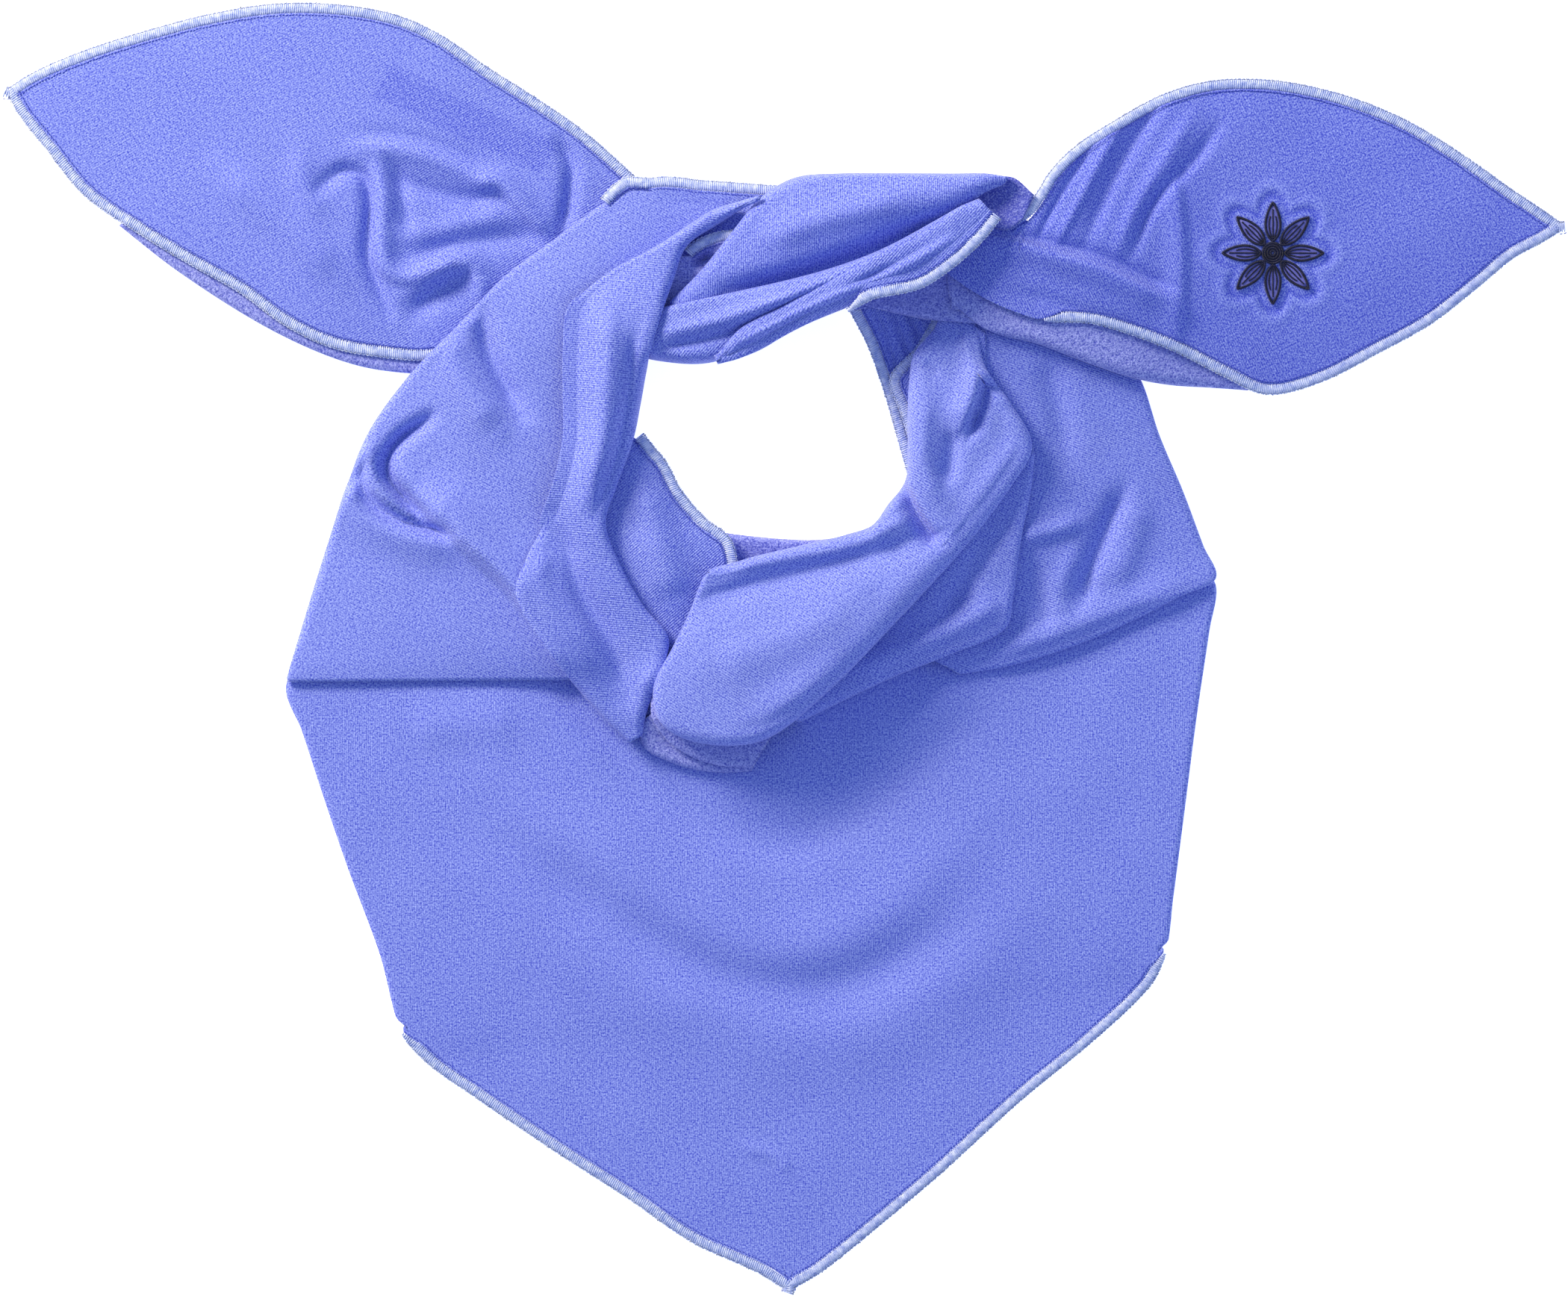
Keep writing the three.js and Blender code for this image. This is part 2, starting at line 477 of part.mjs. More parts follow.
    rows: [
      [47.6, 15.3, 47.3, 16.2, 66, 68, 66, 20, 20],
      [45.2, 16.2, 45.4, 17.5, 70, 74, 70, 30, 30],
      [41.7, 19.0, 43.7, 19.0, 78, 84, 80, 50, 50],
      [38.5, 21.4, 42.9, 21.6, 80, 90, 90, 70, 70],
      [36.4, 23.4, 42.2, 24.0, 80, 92, 96, 90, 80],
      [36.0, 27.0, 41.3, 27.8, 80, 92, 98, 100, 80],
      [36.0, 30.5, 40.8, 31.0, 80, 92, 98, 100, 80],
      [36.0, 33.6, 40.3, 34.0, 80, 92, 98, 100, 80],
      [35.3, 37.0, 39.3, 37.4, 78, 90, 94, 100, 60],
      [34.4, 40.0, 38.6, 40.3, 74, 84, 88, 100, 60],
      [33.6, 42.8, 39.5, 43.5, 68, 72, 82, 100, 60],
      [32.8, 45.8, 41.0, 46.7, 62, 62, 76, 100, 60],
      [34.5, 49.5, 42.6, 49.2, 56, 58, 72, 100, 60],
      [36.3, 52.4, 42.0, 52.2, 52, 54, 64, 90, 60],
      [38.3, 55.2, 41.2, 54.8, 48, 50, 56, 70, 60],
      [40.0, 57.2, 40.9, 56.6, 42, 42, 44, 40, 40],
    ],
    folds: [
      [-26, 12, 10, 37.2, 23.4, 37.6, 27, 37.2, 31],
      [-26, 26, 22, 37.6, 41, 38, 45, 39, 49, 40, 53],
      [16, 14, 16, 35.4, 42, 34.8, 45, 36, 48.6, 38.2, 52.6],
    ],
  },
];

// Thread-bound edges, each along one rail of a panel from one row to another.
// The places before and after carry the binding to a point that the panel's
// own rows stop short of.
const HEMS = [
  { name: 'hem_bib_left', panel: 'bib', edge: 'a', from: 6, to: 12, after: [[49.9, 99.2]] },
  { name: 'hem_bib_right', panel: 'bib', edge: 'b', from: 6, to: 12, after: [[50.6, 99.7]] },
  { name: 'hem_tail_left_upper', panel: 'tail_left', edge: 'a', from: 0, to: 12, before: [[0.15, 6.6]] },
  { name: 'hem_tail_left_lower', panel: 'tail_left', edge: 'b', from: 0, to: 9, before: [[0.9, 8.0]] },
  { name: 'hem_strap', panel: 'left_side', edge: 'a', from: 0, to: 2 },
  { name: 'hem_neck_back', panel: 'neck_back', edge: 'a', from: 0, to: 5 },
  { name: 'hem_neck_back_over', panel: 'neck_back_over', edge: 'a', from: 0, to: 4 },
  { name: 'hem_neckline', panel: 'neckline_left', edge: 'b', from: 1, to: 5, before: [[40.7, 33.6]] },
  { name: 'hem_knot_left', panel: 'knot_left_back', edge: 'a', from: 0, to: 2 },
  { name: 'hem_tail_right_upper', panel: 'tail_right', edge: 'a', from: 1, to: 14, after: [[99.85, 17.2]] },
  { name: 'hem_tail_right_lower', panel: 'tail_right', edge: 'b', from: 2, to: 14 },
  { name: 'hem_knot', panel: 'knot_roll_lower', edge: 'b', from: 4, to: 8 },
];

// Where a section row's heights and turned widths start, and how many of its
// numbers are joined smoothly
const HA = 4;
const RA = 7;
const RB = 8;
const PLACES = 7;

// A turned edge needs this much height between the cloth and its own back, and
// up to so many times more where it leans
const TIGHT_TURN = CLOTH + 2 * CLEARANCE;
const MOST_LEAN = 1.8;
const HEM_INSET = HEM_WIDTH + 2 * CLEARANCE;

const mix = (from, to, share) => from + (to - from) * share;
const clamp = (value, low, high) => Math.min(high, Math.max(low, value));

// Height of everything laid so far, on a grid of cells. Bare floor lies one
// clearance low, so that cloth laid on it rests at zero.
class Pile {
  constructor() {
    this.nx = Math.ceil((SPREAD + FLOOR_MARGIN) / CELL);
    this.ny = Math.ceil((DROP + FLOOR_MARGIN) / CELL);
    this.height = new Float32Array(this.nx * this.ny).fill(-CLEARANCE);
  }

  add(grid) {
    for (const { point } of facetPoints(grid, PILE_SPACING)) {
      const [x, y, z] = point;
      const cell = Math.round(y / CELL + this.ny / 2) * this.nx + Math.round(x / CELL + this.nx / 2);
      this.height[cell] = Math.max(this.height[cell], z);
    }
  }

  // One clearance above the highest of the four cells round a place
  above(x, y) {
    const cell = Math.floor(y / CELL + this.ny / 2) * this.nx + Math.floor(x / CELL + this.nx / 2);
    const { height, nx } = this;
    return CLEARANCE + Math.max(height[cell], height[cell + 1], height[cell + nx], height[cell + nx + 1]);
  }
}

// Points spread over the two triangles of every cell of a grid of points
function* facetPoints(grid, spacing) {
  for (let i = 0; i + 1 < grid.length; i += 1) {
    for (let j = 0; j + 1 < grid[i].length; j += 1) {
      const corners = [[i, j], [i, j + 1], [i + 1, j + 1], [i + 1, j]];
      for (const trio of [[0, 1, 2], [0, 2, 3]]) {
        const [one, two, three] = trio.map((k) => corners[k]);
        const [p, q, r] = [one, two, three].map(([row, column]) => grid[row][column]);
        const longest = Math.max(Math.hypot(p[0] - q[0], p[1] - q[1]),
          Math.hypot(q[0] - r[0], q[1] - r[1]), Math.hypot(r[0] - p[0], r[1] - p[1]));
        const steps = Math.max(1, Math.ceil(longest / spacing));
        for (let m = 0; m <= steps; m += 1) {
          for (let n = 0; n <= steps - m; n += 1) {
            const weights = [1 - (m + n) / steps, m / steps, n / steps];
            const point = [0, 1, 2].map((axis) =>
              weights[0] * p[axis] + weights[1] * q[axis] + weights[2] * r[axis]);
            yield { point, weights, corners: [one, two, three] };
          }
        }
      }
    }
  }
}

// A panel's rows in millimetres, joined by cubic pieces
class Sections {
  constructor(panel, facet) {
    this.facet = facet;
    this.rows = panel.rows.map((row) => [
      placeX(row[0]), placeY(row[1]), placeX(row[2]), placeY(row[3]),
      ...row.slice(HA, RA).map((share) => share * panel.lift / 100),
      ...row.slice(RA).map((share) => share * panel.turn / 100),
    ]);
    this.knots = [0];
    for (let i = 1; i < this.rows.length; i += 1) {
      this.knots.push(this.knots[i - 1] + this.stride(i));
    }
  }

  stride(i) {
    const [before, here] = [this.rows[i - 1], this.rows[i]];
    return Math.max(
      Math.hypot(here[0] - before[0], here[1] - before[1]),
      Math.hypot(here[2] - before[2], here[3] - before[3]),
    );
  }

  slope(i, column) {
    const low = Math.max(i - 1, 0);
    const high = Math.min(i + 1, this.rows.length - 1);
    return (this.rows[high][column] - this.rows[low][column]) / (this.knots[high] - this.knots[low]);
  }

  // place is a row number with a fraction
  at(place) {
    const i = clamp(Math.floor(place), 0, this.rows.length - 2);
    const share = place - i;
    const span = this.knots[i + 1] - this.knots[i];
    return this.rows[i].map((value, column) => {
      const next = this.rows[i + 1][column];
      if (column >= PLACES) return mix(value, next, share);
      const ease = share * share * (3 - 2 * share);
      const leave = share * (1 - share) ** 2 * span * this.slope(i, column);
      const arrive = share * share * (share - 1) * span * this.slope(i + 1, column);
      return mix(value, next, ease) + leave + arrive;
    });
  }

  places() {
    const list = [0];
    for (let i = 1; i < this.rows.length; i += 1) {
      const steps = Math.max(1, Math.round(this.stride(i) / this.facet));
      for (let k = 1; k <= steps; k += 1) list.push(i - 1 + k / steps);
    }
    return list;
  }
}

// Height that a fold adds at a point: a ridge or valley along a smooth path,
// bell shaped to each side and fading past its ends
function foldHeight(fold, x, y) {
  let best = { distance: Infinity };
  const { path } = fold;
  for (let i = 0; i + 1 < path.length; i += 1) {
    const [px, py] = path[i];
    const [dx, dy] = [path[i + 1][0] - px, path[i + 1][1] - py];
    const length = Math.hypot(dx, dy);
    const raw = ((x - px) * dx + (y - py) * dy) / length ** 2;
    const share = clamp(raw, 0, 1);
    const [ox, oy] = [x - px - dx * share, y - py - dy * share];
    const distance = Math.hypot(ox, oy);
    if (distance < best.distance) {
      best = { distance, side: Math.sign(dx * oy - dy * ox), along: i + share };
    }
  }
  const width = best.side > 0 ? fold.left : fold.right;
  const end = Math.min(best.along, path.length - 1 - best.along) / (path.length - 1);
  const fade = clamp(FOLD_START + end / FOLD_FADE, 0, 1);
  return fold.height * fade * Math.exp(-((best.distance / width) ** 2));
}

function smoothPath(points) {
  const curve = new THREE.CatmullRomCurve3(points.map(([x, y]) => new THREE.Vector3(x, y, 0)));
  return curve.getPoints((points.length - 1) * FOLD_STEPS).map((p) => [p.x, p.y]);
}

function readFold(row, panel) {
  const [height, left, right, ...flat] = row;
  const points = [];
  for (let k = 0; k < flat.length; k += 2) points.push([placeX(flat[k]), placeY(flat[k + 1])]);
  return {
    height: height * panel.lift / 100,
    left: left * FOLD_WIDTH / 100,
    right: right * FOLD_WIDTH / 100,
    path: smoothPath(points),
  };
}

// How far the cloth stays back from the outline for its binding, 0 to 1
function bound(panel, edge, place) {
  const reaches = HEMS.filter((hem) => hem.panel === panel.name && hem.edge === edge)
    .map((hem) => Math.min(place - hem.from, hem.to - place));
  return clamp(1 + Math.max(-1, ...reaches) / HEM_FADE, 0, 1);
}

// One laid panel: a grid of points in the middle of the cloth
class Laid {
  constructor(panel, pile) {
    this.panel = panel;
    this.pile = pile;
    this.sections = new Sections(panel, panel.broad ? BROAD_FACET : FACET_LENGTH);
    this.folds = panel.folds.map((row) => readFold(row, panel));
    this.turned = { a: panel.rows.some((r) => r[RA] > 0), b: panel.rows.some((r) => r[RB] > 0) };
    this.places = this.sections.places();
    const widths = this.places.map((place) => {
      const r = this.sections.at(place);
      return Math.hypot(r[2] - r[0], r[3] - r[1]);
    });
    const facet = panel.broad ? BROAD_FACET : FACET_WIDTH;
    this.across = Math.max(2, Math.round(Math.max(...widths) / facet));
    this.strips = this.places.map((place) => this.strip(place));
    this.settle();
  }

  // Outline point, inward direction and sizes of one edge at a section
  edge(name, place) {
    const row = this.sections.at(place);
    const last = this.sections.rows.length - 1;
    const ahead = this.sections.at(Math.min(place + SLANT_STEP, last));
    const behind = this.sections.at(Math.max(place - SLANT_STEP, 0));
    const k = name === 'a' ? 0 : 2;
    const [ax, ay, bx, by] = row;
    const width = Math.hypot(bx - ax, by - ay);
    const sign = name === 'a' ? 1 : -1;
    const inward = [sign * (bx - ax) / width, sign * (by - ay) / width];
    const tangent = [ahead[k] - behind[k], ahead[k + 1] - behind[k + 1]];
    const length = Math.hypot(...tangent);
    const cross = Math.abs(tangent[0] * inward[1] - tangent[1] * inward[0]);
    const slant = Math.max(cross / length, LEAST_SLANT);
    const turn = row[name === 'a' ? RA : RB];
    const inset = HEM_INSET * bound(this.panel, name, place) / slant;
    return {
      point: [row[k], row[k + 1]], inward, width, turn, slant,
      inset: Math.min(inset, INSET_SHARE * width),
      folded: clamp(turn / TIGHT_TURN / 2, 0, 1) * (1 - bound(this.panel, name, place)),
    };
  }

  strip(place) {
    const row = this.sections.at(place);
    const edges = { a: this.edge('a', place), b: this.edge('b', place) };
    const starts = {};
    for (const name of ['a', 'b']) {
      const edge = edges[name];
      const room = this.turned[name] ? CURL_STEPS + BACK_STEPS : 0;
      const bulge = Math.min(this.panel.bulge, BULGE_SHARE * edge.width);
      const flat = edge.inset + room * FLAT_STEP;
      const start = mix(flat, CLOTH / 2 + bulge, edge.folded);
      starts[name] = Math.min(start, START_SHARE * edge.width);
    }
    const inner = [];
    for (let j = 0; j <= this.across; j += 1) {
      const d = mix(starts.a, edges.a.width - starts.b, j / this.across);
      const x = edges.a.point[0] + edges.a.inward[0] * d;
      const y = edges.a.point[1] + edges.a.inward[1] * d;
      inner.push([x, y, this.rest(row, d / edges.a.width, x, y)]);
    }
    const backs = {};
    const pair = edges.a.turn > 0 && edges.b.turn > 0;
    const reach = pair ? PAIR_SHARE : BACK_SHARE;
    for (const name of ['a', 'b']) {
      const edge = edges[name];
      backs[name] = [];
      for (let k = 0; k <= BACK_STEPS && this.turned[name]; k += 1) {
        const far = mix(starts[name], reach * edge.width, k / BACK_STEPS);
        const d = Math.min(starts[name] + edge.turn * k / BACK_STEPS, far);
        const x = edge.point[0] + edge.inward[0] * d;
        const y = edge.point[1] + edge.inward[1] * d;
        backs[name].push([x, y, this.pile.above(x, y) + CLOTH / 2, d]);
      }
    }
    return { edges, starts, inner, backs };
  }

  // Height of the middle of the cloth: its own form, or what lies below
  rest(row, t, x, y) {
    const [, , , , ha, hm, hb] = row;
    const bow = (hm - (ha + hb) / 2) * 4 * t * (1 - t);
    let form = mix(ha, hb, t) + bow;
    for (const fold of this.folds) form += foldHeight(fold, x, y);
    return Math.max(form, this.pile.above(x, y) + CLOTH / 2);
  }

  // Keeps the upper cloth clear of its own turned back, further where it leans
  order(strip) {
    for (const name of ['a', 'b']) {
      const back = strip.backs[name];
      const { folded, turn } = strip.edges[name];
      if (!back.length || folded === 0) continue;
      const run = Math.max(back[BACK_STEPS][3] - back[0][3], 1);
      const lean = Math.min(Math.hypot(1, (back[BACK_STEPS][2] - back[0][2]) / run), MOST_LEAN);
      strip.inner.forEach((point, j) => {
        const d = mix(strip.starts.a, strip.edges.a.width - strip.starts.b, j / this.across);
        const own = name === 'a' ? d : strip.edges.a.width - d;
        if (own > strip.starts[name] + turn + FACET_WIDTH) return;
        const share = clamp((own - back[0][3]) / run, 0, 1);
        const below = mix(back[0][2], back[BACK_STEPS][2], share);
        point[2] = Math.max(point[2], below + TIGHT_TURN * lean * folded);
      });
    }
  }

  // The strip's points from the end of one turned back to the other
  profile(strip) {
    const side = (name) => {
      const back = strip.backs[name];
      if (!back.length) return [];
      const edge = strip.edges[name];
      const top = strip.inner[name === 'a' ? 0 : this.across];
      const middle = (top[2] + back[0][2]) / 2;
      const half = (top[2] - back[0][2]) / 2;
      const bulge = strip.starts[name] - CLOTH / 2;
      const list = [];
      const put = (order, d, z, k) => {
        const flat = mix(edge.inset, strip.starts[name], order / (CURL_STEPS + BACK_STEPS));
        const away = mix(flat, d, edge.folded);
        list.push([
          edge.point[0] + edge.inward[0] * away,
          edge.point[1] + edge.inward[1] * away,
          mix(top[2], z, edge.folded), k,
        ]);
      };
      for (let k = BACK_STEPS; k >= 1; k -= 1) {
        put(BACK_STEPS - k, back[k][3], back[k][2], k);
      }
      for (let k = 0; k < CURL_STEPS; k += 1) {
        const angle = Math.PI * (k / CURL_STEPS - 0.5);
        const d = strip.starts[name] - bulge * Math.cos(angle);
        put(BACK_STEPS + k, d, middle + half * Math.sin(angle), 0);
      }
      return list;
    };
    return [...side('a'), ...strip.inner, ...side('b').reverse()];
  }

  walls() {
    this.middle = this.strips.map((strip) => this.profile(strip));
    const rows = this.middle.length;
    const columns = this.middle[0].length;
    const vector = (p) => new THREE.Vector3(p[0], p[1], p[2]);
    const point = (i, j) => vector(this.middle[clamp(i, 0, rows - 1)][clamp(j, 0, columns - 1)]);
    const layers = { face: [], back: [] };
    for (let i = 0; i < rows; i += 1) {
      layers.face.push([]);
      layers.back.push([]);
      for (let j = 0; j < columns; j += 1) {
        const along = point(i + 1, j).sub(point(i - 1, j));
        const over = point(i, j + 1).sub(point(i, j - 1));
        const normal = over.cross(along).normalize().multiplyScalar(this.flip * CLOTH / 2);
        layers.face[i].push(point(i, j).add(normal).toArray());
        layers.back[i].push(point(i, j).sub(normal).toArray());
      }
    }
    return layers;
  }

  // Raises whatever still touches the pile, a little more each time
  settle() {
    this.turnFaceUp();
    for (let round = 0; round < SETTLE_ROUNDS; round += 1) {
      this.strips.forEach((strip) => this.order(strip));
      this.layers = this.walls();
      if (this.lift(round > SETTLE_ROUNDS / 2 ? 1 : GENTLE_LIFT) < SETTLED) break;
    }
  }

  // The face is the side that looks up over most of the panel
  turnFaceUp() {
    this.flip = 1;
    const { face, back } = this.walls();
    let sum = 0;
    const start = this.turned.a ? CURL_STEPS + BACK_STEPS : 0;
    face.forEach((row, i) => {
      for (let j = 0; j <= this.across; j += 1) sum += row[start + j][2] - back[i][start + j][2];
    });
    this.flip = Math.sign(sum);
  }

  lift(strength) {
    const need = new Map();
    const ask = (points, raise) => points.forEach((point) => {
      need.set(point, Math.max(need.get(point) ?? 0, raise));
    });
    let worst = 0;
    for (const layer of [this.layers.face, this.layers.back]) {
      for (const { point, weights, corners } of facetPoints(layer, LIFT_SPACING)) {
        const lack = this.pile.above(point[0], point[1]) - point[2];
        if (lack <= 0) continue;
        worst = Math.max(worst, lack);
        const square = weights.reduce((sum, w) => sum + w * w, 0);
        corners.forEach(([i, j], c) => {
          const raise = lack * strength * weights[c] / square;
          ask(this.movers(this.strips[i], j), raise);
          for (const near of [i - 1, i + 1]) {
            if (this.strips[near]) ask(this.movers(this.strips[near], j), raise * LIFT_SPREAD);
          }
        });
      }
    }
    need.forEach((raise, point) => { point[2] += raise; });
    return worst;
  }

  // The settled points that carry a column of the grid
  movers(strip, column) {
    const room = CURL_STEPS + BACK_STEPS;
    const j = column - (this.turned.a ? room : 0);
    if (j >= 0 && j <= this.across) return [strip.inner[j]];
    const name = j < 0 ? 'a' : 'b';
    const order = j < 0 ? column : room - 1 - (j - this.across - 1);
    const back = strip.backs[name][order < BACK_STEPS ? BACK_STEPS - order : 0];
    const top = strip.inner[name === 'a' ? 0 : this.across];
    return strip.edges[name].folded < 1 ? [back, top] : [back];
  }
}

// A closed solid between two matching grids of points, cut along the same
// diagonals so that its two sides stay one thickness apart
function solidBetween(face, back) {
  const rows = face.length;
  const columns = face[0].length;
  const positions = [...face.flat(2), ...back.flat(2)];
  const at = (layer, i, j) => layer * rows * columns + i * columns + j;
  const index = [];
  const quad = (one, two, three, four) => index.push(one, two, three, one, three, four);
  const last = columns - 1;
  for (let i = 0; i + 1 < rows; i += 1) {
    for (let j = 0; j < last; j += 1) {
      quad(at(0, i, j), at(0, i, j + 1), at(0, i + 1, j + 1), at(0, i + 1, j));
      quad(at(1, i, j), at(1, i + 1, j), at(1, i + 1, j + 1), at(1, i, j + 1));
    }
    quad(at(0, i, 0), at(0, i + 1, 0), at(1, i + 1, 0), at(1, i, 0));
    quad(at(0, i + 1, last), at(0, i, last), at(1, i, last), at(1, i + 1, last));
  }
  for (let j = 0; j < last; j += 1) {
    quad(at(0, 0, j + 1), at(0, 0, j), at(1, 0, j), at(1, 0, j + 1));
    quad(at(0, rows - 1, j), at(0, rows - 1, j + 1), at(1, rows - 1, j + 1), at(1, rows - 1, j));
  }
  return closedGeometry(positions, index);
}

// Turns the triangles outward where the volume comes out negative
function closedGeometry(positions, index) {
  let volume = 0;
  const corner = (k) => new THREE.Vector3().fromArray(positions, index[k] * 3);
  for (let k = 0; k < index.length; k += 3) {
    volume += corner(k).dot(corner(k + 1).cross(corner(k + 2)));
  }
  const geometry = new THREE.BufferGeometry();
  geometry.setAttribute('position', new THREE.Float32BufferAttribute(positions, 3));
  geometry.setIndex(volume < 0 ? index.reverse() : index);
  geometry.computeVertexNormals();
  return geometry;
}

// A binding: a flat six-sided bar along a cut edge
class Binding {
  constructor(hem, laid, pile) {
    this.pile = pile;
    const places = laid.places.filter((place) => place >= hem.from && place <= hem.to);
    const path = places.map((place) => {
      const edge = laid.edge(hem.edge, place);
      const strip = laid.strips[laid.places.indexOf(place)];
      const inner = strip.inner[hem.edge === 'a' ? 0 : laid.across];
      const inset = HEM_WIDTH / 2 / edge.slant;
      return [
        edge.point[0] + edge.inward[0] * inset,
        edge.point[1] + edge.inward[1] * inset,
        inner[2],
      ];
    });
    const tips = (list = [], near) => list.map(([u, v]) => [placeX(u), placeY(v), near[2]]);
    const first = path[0];
    const last = path[path.length - 1];
    this.path = [...tips(hem.before, first), ...path, ...tips(hem.after, last)];
    for (let round = 0; round < SETTLE_ROUNDS && this.lift() > SETTLED; round += 1);
  }

  rings() {
    return this.path.map((point, i) => {
      const before = this.path[Math.max(i - 1, 0)];
      const after = this.path[Math.min(i + 1, this.path.length - 1)];
      const length = Math.hypot(after[0] - before[0], after[1] - before[1]);
      const side = [(before[1] - after[1]) / length, (after[0] - before[0]) / length];
      return HEM_SECTION.map(([wide, high]) => [
        point[0] + side[0] * wide * HEM_WIDTH / 2,
        point[1] + side[1] * wide * HEM_WIDTH / 2,
        point[2] + high * HEM_THICKNESS / 2,
      ]);
    });
  }

  lift() {
    const rings = this.rings().map((ring) => [...ring, ring[0]]);
    const need = this.path.map(() => 0);
    let worst = 0;
    for (const { point, weights, corners } of facetPoints(rings, LIFT_SPACING)) {
      const lack = this.pile.above(point[0], point[1]) - point[2];
      if (lack <= 0) continue;
      worst = Math.max(worst, lack);
      const square = weights.reduce((sum, w) => sum + w * w, 0);
      corners.forEach(([i], c) => {
        need[i] = Math.max(need[i], lack * weights[c] / square);
      });
    }
    need.forEach((raise, i) => { this.path[i][2] += raise; });
    return worst;
  }

  solid() {
    const rings = this.rings();
    const positions = rings.flat(2);
    const sides = HEM_SECTION.length;
    const index = [];
    for (let i = 0; i + 1 < rings.length; i += 1) {
      for (let j = 0; j < sides; j += 1) {
        const next = (j + 1) % sides;
        const [one, two] = [i * sides + j, i * sides + next];
        index.push(one, two, two + sides, one, two + sides, one + sides);
      }
    }
    const end = (rings.length - 1) * sides;
    for (let j = 1; j + 1 < sides; j += 1) {
      index.push(0, j + 1, j, end, end + j, end + j + 1);
    }
    return closedGeometry(positions, index);
  }
}

// A round flower of pointed petals, raised by its thread, lying on the cloth
function flower(pile) {
  const outline = [];
  const points = MOTIF_PETALS * PETAL_POINTS;
  for (let k = 0; k < points; k += 1) {
    const angle = 2 * Math.PI * k / points;
    const swell = Math.abs(Math.cos(angle * MOTIF_PETALS / 2)) ** PETAL_SWELL;
    const radius = MOTIF_SIZE / 2 * mix(PETAL_NOTCH, 1, swell);
    outline.push([radius * Math.cos(angle), radius * Math.sin(angle)]);
  }
  const [x0, y0] = [placeX(MOTIF_AT.u), placeY(MOTIF_AT.v)];
  const rings = PETAL_RINGS.map((share) => outline.map(([x, y]) => [x0 + x * share, y0 + y * share]));
  const under = rings.map((ring) => ring.map(([x, y]) => [x, y, pile.above(x, y)]));
  const hub = [x0, y0, pile.above(x0, y0)];
  const closed = [...under.map((ring) => [...ring, ring[0]]), [...outline, hub].map(() => hub)];
  let worst = 0;
  for (const { point } of facetPoints(closed, LIFT_SPACING)) {
    worst = Math.max(worst, pile.above(point[0], point[1]) - point[2]);
  }
  const raise = (points, rise) => points.map(([x, y, z]) => [x, y, z + worst + rise]);
  const layer = (rise) => ({
    rings: under.map((ring) => raise(ring, rise)),
    hub: raise([hub], rise),
  });
  return ringSolid(layer(MOTIF_RELIEF), layer(0));
}

// A closed flat body from rings of points that get smaller towards a hub
function ringSolid(top, bottom) {
  const last = top.rings.length - 1;
  const count = top.rings[0].length;
  const size = (last + 1) * count + 1;
  const positions = [top, bottom].flatMap((layer) => [...layer.rings.flat(2), ...layer.hub.flat()]);
  const at = (layer, ring, k) => layer * size + ring * count + (k % count);
  const hub = (layer) => layer * size + size - 1;
  const index = [];
  const quad = (one, two, three, four) => index.push(one, two, three, one, three, four);
  for (let k = 0; k < count; k += 1) {
    for (let ring = 0; ring < last; ring += 1) {
      quad(at(0, ring, k), at(0, ring, k + 1), at(0, ring + 1, k + 1), at(0, ring + 1, k));
      quad(at(1, ring, k), at(1, ring + 1, k), at(1, ring + 1, k + 1), at(1, ring, k + 1));
    }
    quad(at(1, 0, k), at(1, 0, k + 1), at(0, 0, k + 1), at(0, 0, k));
    index.push(hub(0), at(0, last, k), at(0, last, k + 1));
    index.push(hub(1), at(1, last, k + 1), at(1, last, k));
  }
  return closedGeometry(positions, index);
}

function addMesh(group, name, geometry, skin) {
  const mesh = new THREE.Mesh(geometry, new THREE.MeshStandardMaterial(skin));
  mesh.name = name;
  group.add(mesh);
}

const neckerchief = new THREE.Group();
const pile = new Pile();
for (const panel of PANELS) {
  const laid = new Laid(panel, pile);
  const { face, back } = laid.layers;
  addMesh(neckerchief, panel.name, solidBetween(face, back), panel.skin);
  const bindings = HEMS.filter((hem) => hem.panel === panel.name)
    .map((hem) => [hem.name, new Binding(hem, laid, pile)]);
  pile.add(face);
  pile.add(back);
  for (const [name, binding] of bindings) {
    addMesh(neckerchief, name, binding.solid(), EDGE_THREAD);
    pile.add(binding.rings().map((ring) => [...ring, ring[0]]));
  }
}
addMesh(neckerchief, 'embroidered_flower', flower(pile), MOTIF_THREAD);

export default neckerchief;
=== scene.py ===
"""Dressed model of the knotted jersey neckerchief.

Every layer of cloth is laid again on a fine grid, over the layers below it.
The section tables follow the solids', and most were adjusted further to the
photograph. Thread-bound edges, stitches, the flower and the weave are added on
top. Lengths in the tables and in the laying are millimetres, and meshes are
made in metres.
"""
import math

import bpy
import numpy as np
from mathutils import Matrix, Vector


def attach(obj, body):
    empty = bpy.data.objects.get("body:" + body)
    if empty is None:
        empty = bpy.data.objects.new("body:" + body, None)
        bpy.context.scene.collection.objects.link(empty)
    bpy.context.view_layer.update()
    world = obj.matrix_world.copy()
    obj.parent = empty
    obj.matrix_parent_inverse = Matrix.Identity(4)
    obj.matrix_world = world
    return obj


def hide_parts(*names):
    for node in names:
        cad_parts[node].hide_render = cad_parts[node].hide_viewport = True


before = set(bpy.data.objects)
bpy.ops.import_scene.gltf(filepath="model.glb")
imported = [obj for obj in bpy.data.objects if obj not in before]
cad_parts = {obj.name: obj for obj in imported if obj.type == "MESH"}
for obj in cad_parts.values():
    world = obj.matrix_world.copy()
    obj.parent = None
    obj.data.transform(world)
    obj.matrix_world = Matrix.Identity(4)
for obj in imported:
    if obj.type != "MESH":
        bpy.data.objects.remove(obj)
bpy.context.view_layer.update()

MM = 0.001

